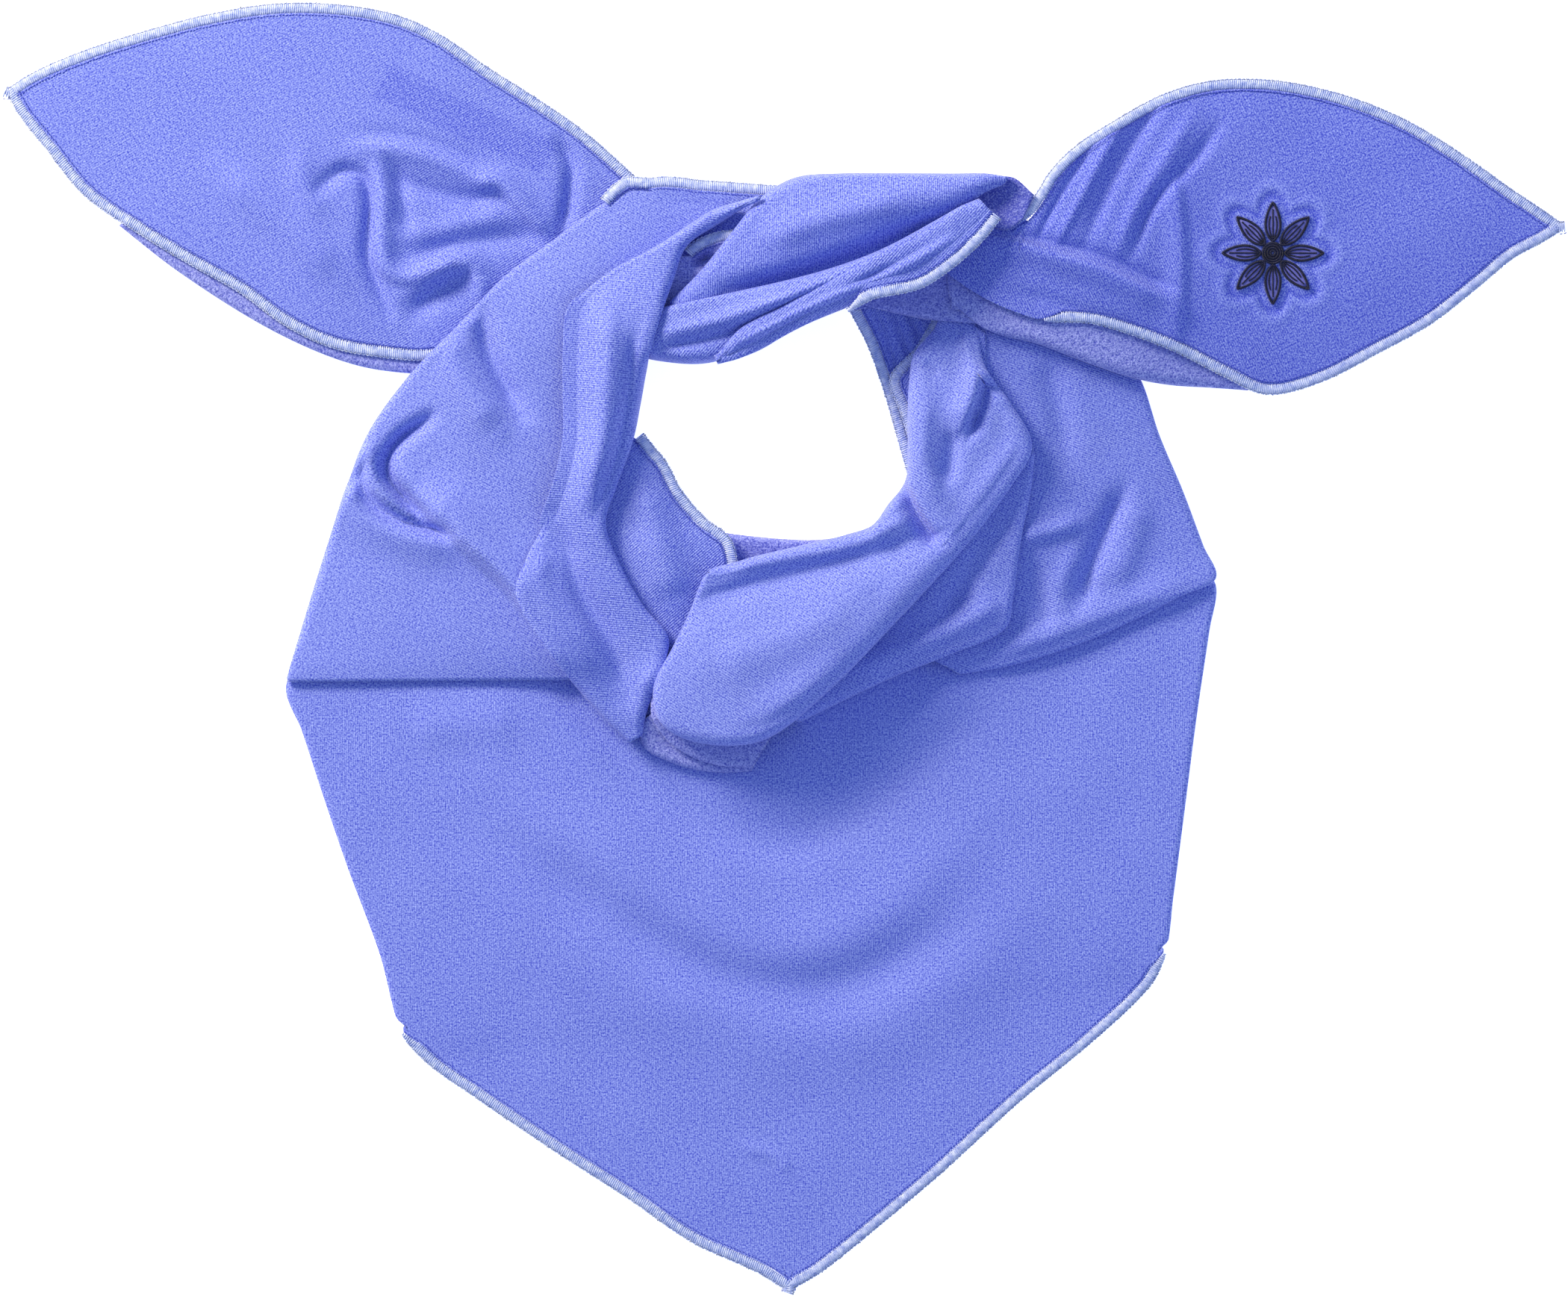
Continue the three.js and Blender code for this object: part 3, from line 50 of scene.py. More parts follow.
# Driving sizes of the laid cloth and of the material
SPREAD = 712
DROP = 590
BIB_HEIGHT = 8
SIDE_HEIGHT = 17
TAIL_HEIGHT = 14
COWL_HEIGHT = 32
KNOT_HEIGHT = 42
CLOTH = 1.4
HEM_WIDTH = 5
HEM_THICKNESS = 2.4
CLEARANCE = 0.3
FLAP_BACK = 110
TURN_BACK = 14
FLAT_BULGE = 2.5
SOFT_BULGE = 4
FULL_BULGE = 6
FOLD_WIDTH = 40
MOTIF_SIZE = 46
MOTIF_AT = (81.2, 19.4)

FACE_CLOTH = "jersey_face"
BACK_CLOTH = "jersey_back"

# A panel's rows are [au, av, bu, bv, ha, hm, hb, ra, rb]: the strip's edges in
# per cent of the spread and the drop, heights in per cent of the lift, and the
# widths turned back under the edges in per cent of the turn. A row takes what
# it leaves out from the row above. A fold is
# [height, spreadLeft, spreadRight, u, v, u, v, ...].
PANELS = []


def panel(name, skin, lift, bulge, rows, folds=(), turn=TURN_BACK):
    full = [rows[0]]
    for row in rows[1:]:
        full.append(row + full[-1][len(row):])
    PANELS.append({"name": name, "skin": skin, "lift": lift, "bulge": bulge, "turn": turn,
                   "rows": full, "folds": folds})


panel("bib", FACE_CLOTH, BIB_HEIGHT, FLAT_BULGE, [
    [19.4, 50.0, 76.0, 43.4, 42, 40, 42, 100, 100], [18.0, 52.9, 77.6, 45.0],
    [19.0, 56.2, 77.2, 48.5, 42, 40, 42, 92, 92], [20.3, 61.0, 76.4, 55.0, 42, 44, 42, 74, 74],
    [22.0, 67.0, 75.6, 62.5, 42, 50, 42, 50, 48], [24.0, 73.5, 74.9, 69.0, 40, 50, 42, 24, 20],
    [25.4, 79.6, 74.4, 73.4, 30, 44, 30, 0, 0], [27.0, 81.9, 73.4, 76.0, 16, 36, 16],
    [30.0, 84.5, 70.0, 80.0, 16, 32], [35.0, 88.6, 65.0, 85.0, 16, 28],
    [40.0, 92.5, 60.0, 90.5, 16, 24], [44.0, 95.8, 55.8, 94.8, 16, 18],
    [47.8, 97.9, 52.6, 97.9, 16, 16], [49.5, 99.1, 51.0, 99.1],
], [
    [36, 44, 34, 32, 60, 40, 67.5, 46, 72, 51, 73, 56, 70.5, 61, 65.5],
    [-42, 34, 32, 38, 57.0, 43, 62.0, 49, 64.6, 54, 62.6, 60, 57.0],
    [30, 40, 50, 31, 68, 40, 76, 50, 80, 58, 78, 65, 71],
    [-30, 26, 34, 33, 65.5, 40, 71.5, 47, 75.6, 54, 75.8, 60, 72],
    [26, 30, 26, 54, 58, 58, 55.5, 62, 52.6],
    [24, 30, 26, 26, 56, 33, 55.5],
    [-34, 22, 16, 35.6, 52.6, 37.8, 55.6, 40.2, 58.6],
    [12, 8, 8, 47.2, 88.4, 49.4, 89.2, 50.2, 90.4],
], turn=FLAP_BACK)
panel("tail_left_back", BACK_CLOTH, TAIL_HEIGHT, FLAT_BULGE, [
    [10.5, 16.0, 7.3, 17.2, 12, 14, 20, 0, 40], [14.0, 18.2, 11.0, 20.7, 12, 14, 24, 0, 50],
    [18.5, 20.6, 16.0, 24.6, 12, 16, 26, 0, 60], [21.5, 22.4, 20.0, 27.0, 12, 18],
    [24.5, 24.0, 23.4, 28.3], [28.5, 24.6, 28.0, 28.9],
])
panel("tail_left", FACE_CLOTH, TAIL_HEIGHT, FLAT_BULGE, [
    [0.35, 6.5, 0.45, 7.7, 10, 10, 10, 0, 0], [1.5, 5.6, 1.1, 9.0, 10, 12],
    [3.2, 4.6, 2.7, 11.4, 10, 18, 12], [6.0, 3.3, 5.0, 14.8, 10, 22, 14],
    [9.5, 2.0, 8.0, 17.4, 10, 26, 24], [13.0, 0.9, 11.5, 20.0, 12, 30, 30],
    [17.0, 0.1, 15.0, 22.4, 14, 34, 34], [21.0, 0.1, 18.0, 25.0, 16, 40],
    [25.0, 0.9, 21.0, 26.7, 18, 44, 32], [28.0, 2.5, 24.0, 27.4, 20, 44, 30], [31.0, 5.0, 27.5, 27.6],
    [34.0, 7.3, 31.0, 26.0, 20, 44, 28], [37.0, 9.8, 35.0, 22.4, 20, 40, 26],
    [40.2, 13.2, 39.0, 18.4, 20, 34, 24], [42.5, 16.0, 41.6, 18.6, 20, 30],
], [
    [-12, 8, 3, 22.8, 10.3, 25.0, 10.4, 27.2, 10.9, 29.4, 11.9, 31.2, 13.1],
    [26, 5, 12, 22.6, 11.0, 25.0, 11.2, 27.6, 12.0, 30.0, 13.2, 31.6, 13.9],
    [-26, 11, 12, 24.4, 12.4, 25.6, 13.8, 27.4, 14.6, 29.8, 15.2, 31.6, 14.9],
    [40, 14, 4, 30.4, 14.3, 31.5, 14.1, 32.6, 15.2, 33.8, 16.8, 35.2, 18.6],
    [-38, 8, 9, 35.6, 10.8, 36.3, 12.6, 36.2, 15.0, 35.8, 17.8],
    [-42, 5, 8, 20.0, 14.4, 21.6, 12.9, 23.0, 13.3, 23.5, 15.2,
     23.4, 17.6, 23.3, 19.6, 23.9, 21.6, 24.8, 24.0],
    [36, 13, 5, 23.9, 12.4, 24.1, 15.0, 24.1, 18.0, 24.3, 20.2,
     25.4, 21.4, 27.0, 21.0, 28.6, 20.2, 29.8, 19.7],
    [-18, 7, 7, 25.2, 13.2, 25.5, 15.4, 26.0, 17.8],
    [30, 16, 4, 26.0, 22.6, 27.4, 21.4, 28.8, 20.7, 29.9, 20.4, 30.3, 21.6, 30.5, 23.0],
    [-26, 8, 14, 26.0, 24.0, 27.8, 22.4, 29.6, 21.4],
    [-22, 13, 14, 26.2, 19.5, 29.0, 18.8, 31.6, 18.2, 34.6, 18.0],
    [18, 12, 12, 25.2, 18.0, 27.6, 17.8, 30.0, 17.0, 32.4, 16.6],
    [14, 14, 16, 19.0, 11.6, 19.2, 14.0, 20.4, 16.6],
    [24, 20, 22, 14, 13, 18, 17, 21.4, 21],
])
panel("left_side", FACE_CLOTH, SIDE_HEIGHT, SOFT_BULGE, [
    [49.6, 14.2, 49.4, 17.0, 60, 70, 80, 0, 0], [45.0, 13.8, 45.8, 18.6, 56],
    [41.4, 13.6, 42.2, 21.0, 56, 76], [38.4, 15.5, 39.8, 23.2, 60, 84, 80, 60],
    [35.0, 18.5, 38.2, 25.0, 62, 90, 84, 100], [32.0, 21.2, 37.4, 27.0, 62, 92, 86],
    [29.0, 25.0, 37.4, 29.5, 60, 92, 88], [25.8, 29.0, 37.4, 32.4, 56, 86, 90],
    [23.4, 33.0, 37.2, 35.2, 46, 82], [22.0, 37.0, 36.8, 38.4, 40, 76],
    [20.9, 41.0, 36.2, 41.6, 36, 66], [19.6, 46.0, 36.2, 45.6, 36, 56, 84],
    [18.6, 50.0, 37.6, 49.4, 36, 52, 76, 80], [18.2, 51.6, 39.0, 51.4, 36, 46, 60, 50],
    [18.0, 52.5, 39.6, 52.3, 32, 38, 44, 20],
], [
    [-40, 12, 10, 30.4, 22.5, 30.8, 26.0, 31.6, 28.6, 33.2, 31.8],
    [28, 14, 20, 28.4, 26, 29.4, 29, 31.6, 33],
    [68, 40, 3.5, 25.8, 38.1, 27.3, 39.8, 28.9, 41.1, 30.6, 43.0,
     32.4, 45.1, 34.2, 47.8, 36.0, 50.6, 37.6, 53.0],
    [-66, 7, 9, 27.3, 32.2, 25.6, 33.6, 24.7, 35.0, 24.6, 36.4, 25.4, 37.8, 26.6, 39.2, 28.2, 40.5],
    [34, 5, 5, 23.3, 34.0, 23.5, 36.0, 24.2, 37.8, 25.5, 39.4, 27.2, 40.4],
    [-40, 6, 4, 22.7, 35.6, 22.9, 37.6, 23.8, 38.9, 25.4, 40.0, 27.4, 40.8, 28.8, 41.1],
    [26, 5, 24, 22.0, 36.4, 22.7, 38.9, 24.3, 40.4, 26.6, 41.3, 29.4, 42.0],
])
panel("body_right", FACE_CLOTH, SIDE_HEIGHT, SOFT_BULGE, [
    [71.4, 27.2, 62.2, 24.4, 36, 70, 90, 60, 0], [72.8, 29.2, 62.0, 28.0, 36, 72],
    [74.0, 33.5, 62.2, 32.0, 36, 70, 90, 100], [75.5, 37.8, 63.2, 36.0, 36, 66],
    [76.8, 42.0, 62.4, 40.0, 36, 60], [77.6, 44.5, 61.8, 43.0, 36, 56, 86, 50],
    [75.4, 45.8, 61.2, 45.2, 36, 54, 80, 60], [72.0, 47.9, 60.6, 46.8, 40, 54, 74, 80],
    [68.5, 49.7, 60.0, 48.0, 46, 54, 66], [64.5, 51.2, 59.4, 49.2, 46, 52, 60],
    [61.2, 51.9, 58.8, 50.4, 44, 50, 56, 60],
], [
    [26, 13, 4, 65.0, 41.6, 66.4, 41.2, 67.6, 40.8, 68.8, 40.4],
    [-32, 6, 14, 71.8, 38.0, 71.1, 39.6, 70.4, 41.6, 69.6, 44.0, 69.2, 46.4],
    [16, 14, 18, 72.8, 38.8, 72.2, 41.6, 71.2, 45.0],
    [12, 12, 12, 68.6, 42.4, 67.6, 45.2, 67.6, 47.6],
    [-12, 12, 12, 66.0, 43.0, 66.2, 46.0, 66.8, 48.4],
    [22, 12, 20, 76.4, 45.0, 72.0, 46.6, 67.6, 48.6, 63.6, 50.2],
    [-16, 16, 16, 66.8, 27.6, 67.4, 31.0, 68.0, 35.0],
])
panel("neck_back", FACE_CLOTH, COWL_HEIGHT, FLAT_BULGE, [
    [53.6, 22.4, 58.8, 22.6, 14, 14, 12, 0, 0], [54.2, 24.0, 59.6, 24.6],
    [55.3, 26.6, 60.4, 27.6, 12, 12], [56.3, 30.0, 61.0, 31.0], [57.1, 33.4, 61.2, 34.2],
    [57.9, 36.8, 61.2, 37.4],
], [
    [-12, 2, 6, 55.9, 23.6, 57.3, 28.4],
    [-12, 2, 6, 56.9, 23.6, 58.0, 27.2],
    [-12, 2, 6, 57.9, 23.8, 58.7, 26.0],
])
panel("neck_back_over", FACE_CLOTH, COWL_HEIGHT, FLAT_BULGE, [
    [60.0, 23.2, 62.8, 25.6, 20, 20, 20, 0, 0], [58.4, 26.6, 62.8, 28.6], [56.7, 29.0, 62.6, 31.0, 18],
    [57.4, 31.8, 62.2, 33.0], [58.2, 34.8, 61.6, 35.6],
])
panel("neck_front_back", BACK_CLOTH, COWL_HEIGHT, FLAT_BULGE, [
    [45.2, 40.8, 46.2, 44.8, 26, 24, 20, 70, 0], [47.0, 41.1, 47.6, 45.0, 28],
    [49.5, 41.4, 50.0, 45.2, 30], [52.0, 41.5, 52.6, 45.2], [54.6, 41.1, 55.2, 44.8, 28],
])
panel("neckline_left", FACE_CLOTH, COWL_HEIGHT, FLAT_BULGE, [
    [37.8, 33.0, 39.9, 33.4, 48, 44, 40, 0, 0], [38.8, 35.2, 42.1, 35.0, 50, 46, 38],
    [38.0, 38.0, 43.4, 37.7, 52, 48], [37.4, 40.6, 44.9, 39.8, 56, 50, 40],
    [37.8, 43.2, 46.5, 41.4, 56, 54, 42], [38.8, 45.4, 47.0, 43.6, 52],
    [39.6, 47.8, 47.0, 46.6, 44, 50, 40], [40.0, 50.2, 46.0, 49.8, 40, 46],
    [39.8, 52.6, 44.6, 53.0, 36, 42, 38], [39.8, 54.6, 42.8, 55.6, 32, 38, 36],
], [
    [16, 22, 22, 41, 37, 42, 42, 43, 46],
])
panel("cowl_tip_lower", BACK_CLOTH, COWL_HEIGHT, FLAT_BULGE, [
    [40.6, 55.8, 42.4, 54.0, 26, 26, 26, 40, 0], [41.0, 57.6, 43.8, 54.6],
    [42.4, 58.6, 45.2, 55.0, 26, 26, 26, 50], [44.3, 59.3, 46.8, 55.4], [46.0, 59.5, 48.2, 55.8],
    [47.8, 59.4, 49.4, 56.2],
])
panel("cowl_tip", BACK_CLOTH, COWL_HEIGHT, FLAT_BULGE, [
    [41.4, 53.6, 43.6, 52.6, 46, 44, 44, 40, 0], [41.5, 55.4, 44.6, 53.8, 44, 44, 44, 50],
    [42.6, 57.2, 46.0, 54.8, 42], [44.2, 58.4, 47.4, 55.2, 40], [46.0, 59.0, 48.6, 55.6],
    [47.9, 59.1, 49.4, 56.0],
])
panel("cowl_under", FACE_CLOTH, COWL_HEIGHT, SOFT_BULGE, [
    [63.6, 34.6, 66.0, 34.8, 60, 60, 56, 0, 60], [63.0, 37.4, 65.7, 38.0, 60, 60, 56, 0, 80],
    [61.2, 40.4, 65.1, 41.6, 60, 60, 54, 0, 100], [59.4, 43.2, 64.6, 46.0, 58, 60, 52],
    [57.4, 45.8, 64.0, 48.5, 58, 58, 50, 0, 90], [55.2, 48.4, 60.5, 50.4, 56, 56, 50, 0, 100],
    [53.0, 50.8, 57.0, 52.1, 54, 54, 48], [51.0, 52.8, 54.0, 53.8, 52, 52, 46, 0, 90],
    [49.0, 54.6, 51.0, 55.6, 50, 50, 44, 0, 80],
], [
    [-16, 14, 14, 64.2, 39, 62.4, 43, 60, 47.6],
    [12, 12, 16, 64, 46.4, 60, 48.8, 55, 51.4],
])
panel("knot_left_back", BACK_CLOTH, KNOT_HEIGHT, FLAT_BULGE, [
    [47.4, 17.6, 50.0, 18.4, 44, 44, 44, 0, 0], [45.4, 17.9, 48.0, 20.2], [43.6, 19.1, 46.2, 22.4],
    [41.6, 22.6, 44.4, 24.8, 42, 42, 42], [40.8, 24.4, 43.6, 26.4],
], [
    [-26, 3, 8, 45.4, 19.7, 44.4, 20.3],
])
panel("cowl_right", FACE_CLOTH, COWL_HEIGHT, FULL_BULGE, [
    [45.4, 43.7, 44.7, 44.6, 80, 80, 80, 20, 20], [46.8, 43.3, 43.9, 47.2, 76, 80, 78, 50, 40],
    [48.2, 42.8, 42.8, 50.0, 76, 84, 80, 70, 60], [49.6, 42.4, 41.6, 53.0, 76, 89, 82, 80],
    [51.0, 42.0, 42.1, 55.8, 77, 94, 85, 80, 50], [52.4, 41.6, 44.8, 57.3, 78, 99, 89, 80, 60],
    [54.0, 41.1, 48.6, 57.0, 79, 103, 92, 90, 80], [55.6, 40.4, 52.4, 53.6, 80, 104, 92, 90, 100],
    [56.6, 38.8, 56.6, 48.5, 82, 98, 88, 80], [57.7, 36.8, 61.6, 42.0, 84, 92, 84, 70],
    [57.8, 34.2, 64.6, 37.2, 88, 86, 74], [57.8, 31.6, 65.8, 34.3, 80, 80, 66, 70, 90],
    [57.9, 29.2, 64.4, 31.0, 70, 72, 60, 70, 80], [58.2, 27.2, 62.8, 28.2, 60, 62, 52, 50, 50],
    [59.4, 25.2, 62.4, 25.2, 46, 46, 42, 20, 20], [59.6, 22.8, 62.4, 22.8, 40, 40, 38, 0, 0],
], [
    [12, 9, 9, 45.6, 43.8, 50.0, 42.7, 54.0, 41.8, 57.6, 40.0],
    [-14, 10, 20, 44.5, 46.3, 48.0, 45.0, 52.0, 43.8, 56.0, 42.6, 59.0, 41.2],
    [10, 24, 30, 45.6, 51.0, 49.6, 49.6, 54.0, 47.0],
    [10, 8, 22, 60.6, 41.4, 59.0, 43.8, 57.0, 46.6, 55.0, 49.4, 53.0, 51.6, 51.0, 53.4, 48.4, 55.2],
    [-38, 4, 14, 57.6, 36.6, 58.3, 39.0, 59.2, 40.8, 59.9, 41.6],
    [18, 5, 15, 62.0, 24.8, 62.3, 27.0, 62.2, 29.2, 61.8, 31.0, 61.3, 32.6],
    [-22, 8, 4, 62.8, 26.8, 62.8, 29.4, 62.4, 31.4, 61.7, 33.4],
    [-12, 11, 11, 60.6, 33.2, 60.6, 35.0, 60.2, 37.2],
    [-6, 6, 6, 58.9, 28.0, 59.8, 28.8],
    [10, 12, 14, 59.0, 30.4, 58.8, 33.6, 58.9, 36.2, 60.0, 38.8],
    [8, 10, 14, 64.2, 31.0, 64.9, 33.8, 63.4, 36.6, 61.6, 39.6],
])
panel("knot_right_back", BACK_CLOTH, KNOT_HEIGHT, FLAT_BULGE, [
    [54.6, 21.8, 54.3, 23.8, 16, 16, 16, 0, 0], [56.6, 21.2, 57.0, 24.2, 24, 24, 24, 0, 20],
    [58.6, 20.6, 59.2, 24.6, 34, 34, 34, 0, 30], [60.6, 20.2, 61.3, 24.8, 46, 46, 44],
    [62.6, 20.4, 63.2, 25.0, 46, 46, 42],
])
panel("tail_right_back", BACK_CLOTH, KNOT_HEIGHT, SOFT_BULGE, [
    [60.2, 20.4, 60.6, 23.8, 30, 30, 30, 0, 0], [63.0, 21.4, 63.3, 25.6, 46, 46, 46, 0, 40],
    [66.0, 21.8, 66.2, 26.5, 52, 52, 50, 0, 60], [69.0, 22.4, 69.0, 27.8, 44, 48, 46],
    [72.0, 23.2, 72.0, 29.0, 30, 36, 38], [75.0, 24.8, 74.6, 29.6, 16, 22, 24],
    [78.0, 26.6, 77.2, 29.8, 8, 12, 14, 0, 50], [80.4, 28.2, 79.6, 30.0, 8, 8, 9, 0, 40],
])
panel("tail_right", FACE_CLOTH, KNOT_HEIGHT, FLAT_BULGE, [
    [62.0, 16.4, 59.8, 20.6, 56, 58, 60, 0, 0], [64.2, 17.0, 62.2, 22.6, 56, 60],
    [65.7, 15.4, 64.2, 23.8, 52], [67.0, 13.0, 66.6, 24.7, 46, 58, 58],
    [68.7, 11.0, 69.5, 24.9, 40, 52, 56], [71.0, 9.2, 72.2, 25.8, 30, 44, 44],
    [74.0, 7.2, 75.2, 27.2, 20, 36, 28], [77.0, 6.1, 78.0, 28.9, 12, 28, 18],
    [80.0, 5.9, 80.8, 30.3, 8, 22, 10], [83.0, 6.3, 84.2, 29.4, 5, 18, 6],
    [86.5, 7.4, 88.0, 27.1, 4, 14, 5], [90.0, 9.2, 91.3, 24.9, 4, 12], [93.5, 11.8, 94.3, 22.1, 4, 10],
    [96.4, 14.3, 96.6, 19.8, 4, 7], [98.4, 15.9, 98.4, 18.6, 4, 5], [99.6, 16.9, 99.5, 17.8, 4, 4],
], [
    [10, 4, 17, 62.4, 18.2, 64.6, 18.7, 66.0, 19.2, 67.6, 19.8,
     69.6, 20.5, 71.4, 21.4, 73.2, 22.4, 74.8, 23.1],
    [-7, 9, 4, 64.6, 18.0, 67.6, 18.9, 70.4, 19.8, 73.2, 21.4, 74.8, 22.2],
    [6, 4, 18, 75.0, 13.4, 75.3, 17.0, 75.4, 20.0, 75.3, 23.0, 75.1, 26.4],
    [-7, 6, 9, 77.8, 9.6, 76.2, 12.2, 74.2, 14.6, 73.0, 16.8, 72.2, 19.4],
    [5, 10, 9, 76.2, 8.6, 74.4, 12.0, 72.6, 15.6, 71.2, 19.4],
    [-7, 9, 10, 74.4, 6.8, 72.4, 10.6, 70.8, 14.0, 69.2, 18.6],
    [5, 5, 6, 71.6, 9.2, 70.2, 12.2, 68.8, 15.4, 67.4, 18.6],
    [-5, 6, 6, 70.0, 10.2, 68.8, 12.6, 67.4, 15.4, 66.2, 18.2],
    [-4, 10, 12, 64.6, 22.4, 69.0, 24.0, 73.0, 25.4],
])
panel("knot_inside", BACK_CLOTH, KNOT_HEIGHT, FLAT_BULGE, [
    [61.6, 15.2, 62.2, 17.0, 52, 50, 52, 0, 0], [62.8, 14.2, 63.6, 17.6, 54, 50, 54],
    [64.4, 13.6, 64.4, 17.6, 58, 54, 58], [65.9, 15.0, 65.2, 16.8, 58, 58],
])
panel("knot_wrap", FACE_CLOTH, KNOT_HEIGHT, FULL_BULGE, [
    [42.6, 23.2, 43.4, 25.2, 60, 56, 44, 30, 0], [44.6, 20.8, 47.0, 24.6, 66, 66, 44, 40],
    [46.6, 17.8, 50.6, 23.4, 62, 74, 52, 60], [48.4, 15.2, 53.6, 22.0, 60, 80, 58, 70],
    [50.6, 13.6, 56.6, 20.4, 58, 82, 62, 80], [53.6, 13.3, 59.4, 18.8, 58, 84, 64],
    [57.0, 13.3, 61.4, 17.2, 58, 84, 66], [60.4, 13.3, 61.9, 15.6, 60, 80],
    [62.6, 13.3, 62.7, 14.8, 70, 78, 70, 60], [64.3, 13.6, 64.0, 14.1, 66, 68, 66, 40],
], [
    [-16, 11, 12, 46.4, 22.4, 50, 21.4, 53.6, 20.0, 57.4, 18.2, 60.8, 16.2],
    [8, 16, 14, 49, 18.4, 53, 16.8, 58, 15.4],
])
panel("knot_roll_upper", FACE_CLOTH, KNOT_HEIGHT, SOFT_BULGE, [
    [40.0, 24.0, 39.5, 27.0, 62, 62, 62, 20, 20], [42.2, 23.6, 41.6, 27.7, 62, 64, 58, 30, 30],
    [44.6, 23.0, 44.4, 28.0, 66, 68, 54, 40, 40], [47.4, 22.3, 46.4, 27.4, 76, 76, 56, 40, 30],
    [50.4, 21.5, 49.0, 25.4, 80, 80, 58, 40, 0], [53.4, 20.5, 52.2, 23.4, 82, 82, 60],
    [56.2, 19.2, 55.4, 21.4, 84, 84, 64, 30], [59.0, 17.4, 58.6, 19.2, 84, 84, 68],
    [61.4, 15.6, 61.2, 17.2, 82, 82, 70, 20],
], [
    [10, 7, 5, 42.6, 25.6, 46.4, 24.5, 50.2, 22.9, 54, 21.0, 58, 18.9],
    [-9, 5, 5, 42.0, 26.8, 45.4, 26.0, 48.4, 24.9],
])
panel("knot_roll_lower", FACE_CLOTH, KNOT_HEIGHT, SOFT_BULGE, [
    [45.4, 27.2, 45.8, 28.2, 60, 60, 56, 10, 20], [47.2, 25.2, 48.2, 27.1, 74, 72, 58, 30, 40],
    [49.8, 23.6, 50.6, 25.5, 84, 80, 60, 40], [52.4, 21.9, 53.2, 24.1, 84, 86, 70],
    [54.8, 20.4, 55.6, 23.1, 84, 88, 72, 40, 0], [57.2, 19.0, 58.6, 22.3, 84, 90, 74],
    [59.6, 17.3, 60.8, 20.6, 84, 90, 76], [61.2, 15.9, 62.6, 18.6, 84, 88, 78, 30],
    [62.2, 15.2, 63.7, 17.0, 84, 86, 78, 20],
], [
    [9, 5, 7, 46.6, 26.6, 49.4, 25.0, 53, 23.0, 57, 21.0, 60.4, 18.6],
    [-12, 5, 5, 49.0, 24.4, 52.4, 22.4, 55.4, 20.9, 58.6, 19.0],
])
panel("left_band", FACE_CLOTH, COWL_HEIGHT, SOFT_BULGE, [
    [48.5, 14.9, 48.3, 15.6, 62, 64, 62, 20, 20], [47.4, 15.2, 47.3, 16.2, 66, 68, 66],
    [45.2, 16.2, 45.4, 17.5, 70, 74, 70, 30, 30], [41.7, 19.0, 43.7, 19.0, 78, 84, 80, 50, 50],
    [38.3, 21.2, 42.9, 21.6, 62, 84, 90, 20, 70], [36.2, 23.4, 42.2, 24.0, 56, 84, 96, 0, 80],
    [35.8, 27.0, 41.3, 27.8, 54, 84, 98], [35.8, 30.5, 40.8, 31.0], [35.8, 33.6, 40.3, 34.0],
    [35.2, 37.0, 39.3, 37.4, 54, 82, 94, 0, 60], [34.3, 40.0, 38.6, 40.3, 54, 76, 88],
    [33.5, 42.8, 39.5, 43.5, 56, 68, 82, 30], [32.8, 45.8, 41.0, 46.7, 62, 62, 76, 100],
    [34.5, 49.5, 42.6, 49.2, 56, 58, 72], [36.3, 52.4, 42.0, 52.2, 52, 54, 64, 90],
    [38.3, 55.2, 41.2, 54.8, 48, 50, 56, 70], [40.0, 57.2, 40.9, 56.6, 42, 42, 44, 40, 40],
], [
    [16, 14, 18, 38.8, 23.6, 38.6, 28, 38.2, 33.6, 37.4, 38],
    [-22, 12, 10, 40.6, 25, 40.2, 30, 39.4, 35, 38.2, 39.6],
    [-20, 16, 22, 35.6, 40, 36.4, 44.6, 38.6, 49.4, 39.8, 53],
    [12, 14, 18, 34.6, 42.4, 34.4, 45, 36, 49, 38.0, 52.6],
])

# Thread-bound edges, each along one rail of a panel from one row to another.
# The places before and after carry the binding to a point that the panel's
# own rows stop short of, and a tucked one starts narrow under a fold.


def hem(name, on, edge, first, last, before=(), after=(), tuck=None):
    return {"name": name, "panel": on, "edge": edge, "from": first, "to": last,
            "before": before, "after": after, "tuck": tuck}


HEMS = [
    hem("bib_left", "bib", "a", 6, 13, after=[[50.2, 99.5]], tuck=0.6),
    hem("bib_right", "bib", "b", 6, 13, after=[[50.2, 99.7]], tuck=0.6),
    hem("tail_left_upper", "tail_left", "a", 0, 13, before=[[0.05, 6.9]]),
    hem("tail_left_lower", "tail_left", "b", 0, 10),
    hem("strap", "left_side", "a", 0, 2, after=[[39.9, 13.9], [39.1, 14.6], [38.5, 15.4]]),
    hem("neck_back", "neck_back", "a", 0, 5),
    hem("neck_back_over", "neck_back_over", "a", 0, 4),
    hem("neckline", "neckline_left", "b", 1, 5, before=[[40.7, 33.6]]),
    hem("knot_left", "knot_left_back", "a", 0, 2),
    hem("tail_right_upper", "tail_right", "a", 2, 15, before=[[64.3, 17.3]], after=[[99.9, 17.3]]),
    hem("tail_right_lower", "tail_right", "b", 3, 15, tuck=0.5),
    hem("knot", "knot_roll_lower", "b", 4, 8, before=[[53.9, 23.7]], tuck=0.5),
]

# Direction of the knitted ribs in a layer, in degrees from +Y towards +X, where
# they don't run straight up
GRAIN = {
    "tail_left": 60, "tail_left_back": 60, "left_side": 118, "body_right": 110, "left_band": 95,
    "cowl_right": 122, "cowl_under": 118, "cowl_tip": 40, "cowl_tip_lower": 40,
    "neckline_left": 50, "neck_back": 30, "neck_back_over": 30,
    "knot_roll_upper": 45, "knot_roll_lower": 42, "tail_right": -26, "tail_right_back": -26,
}

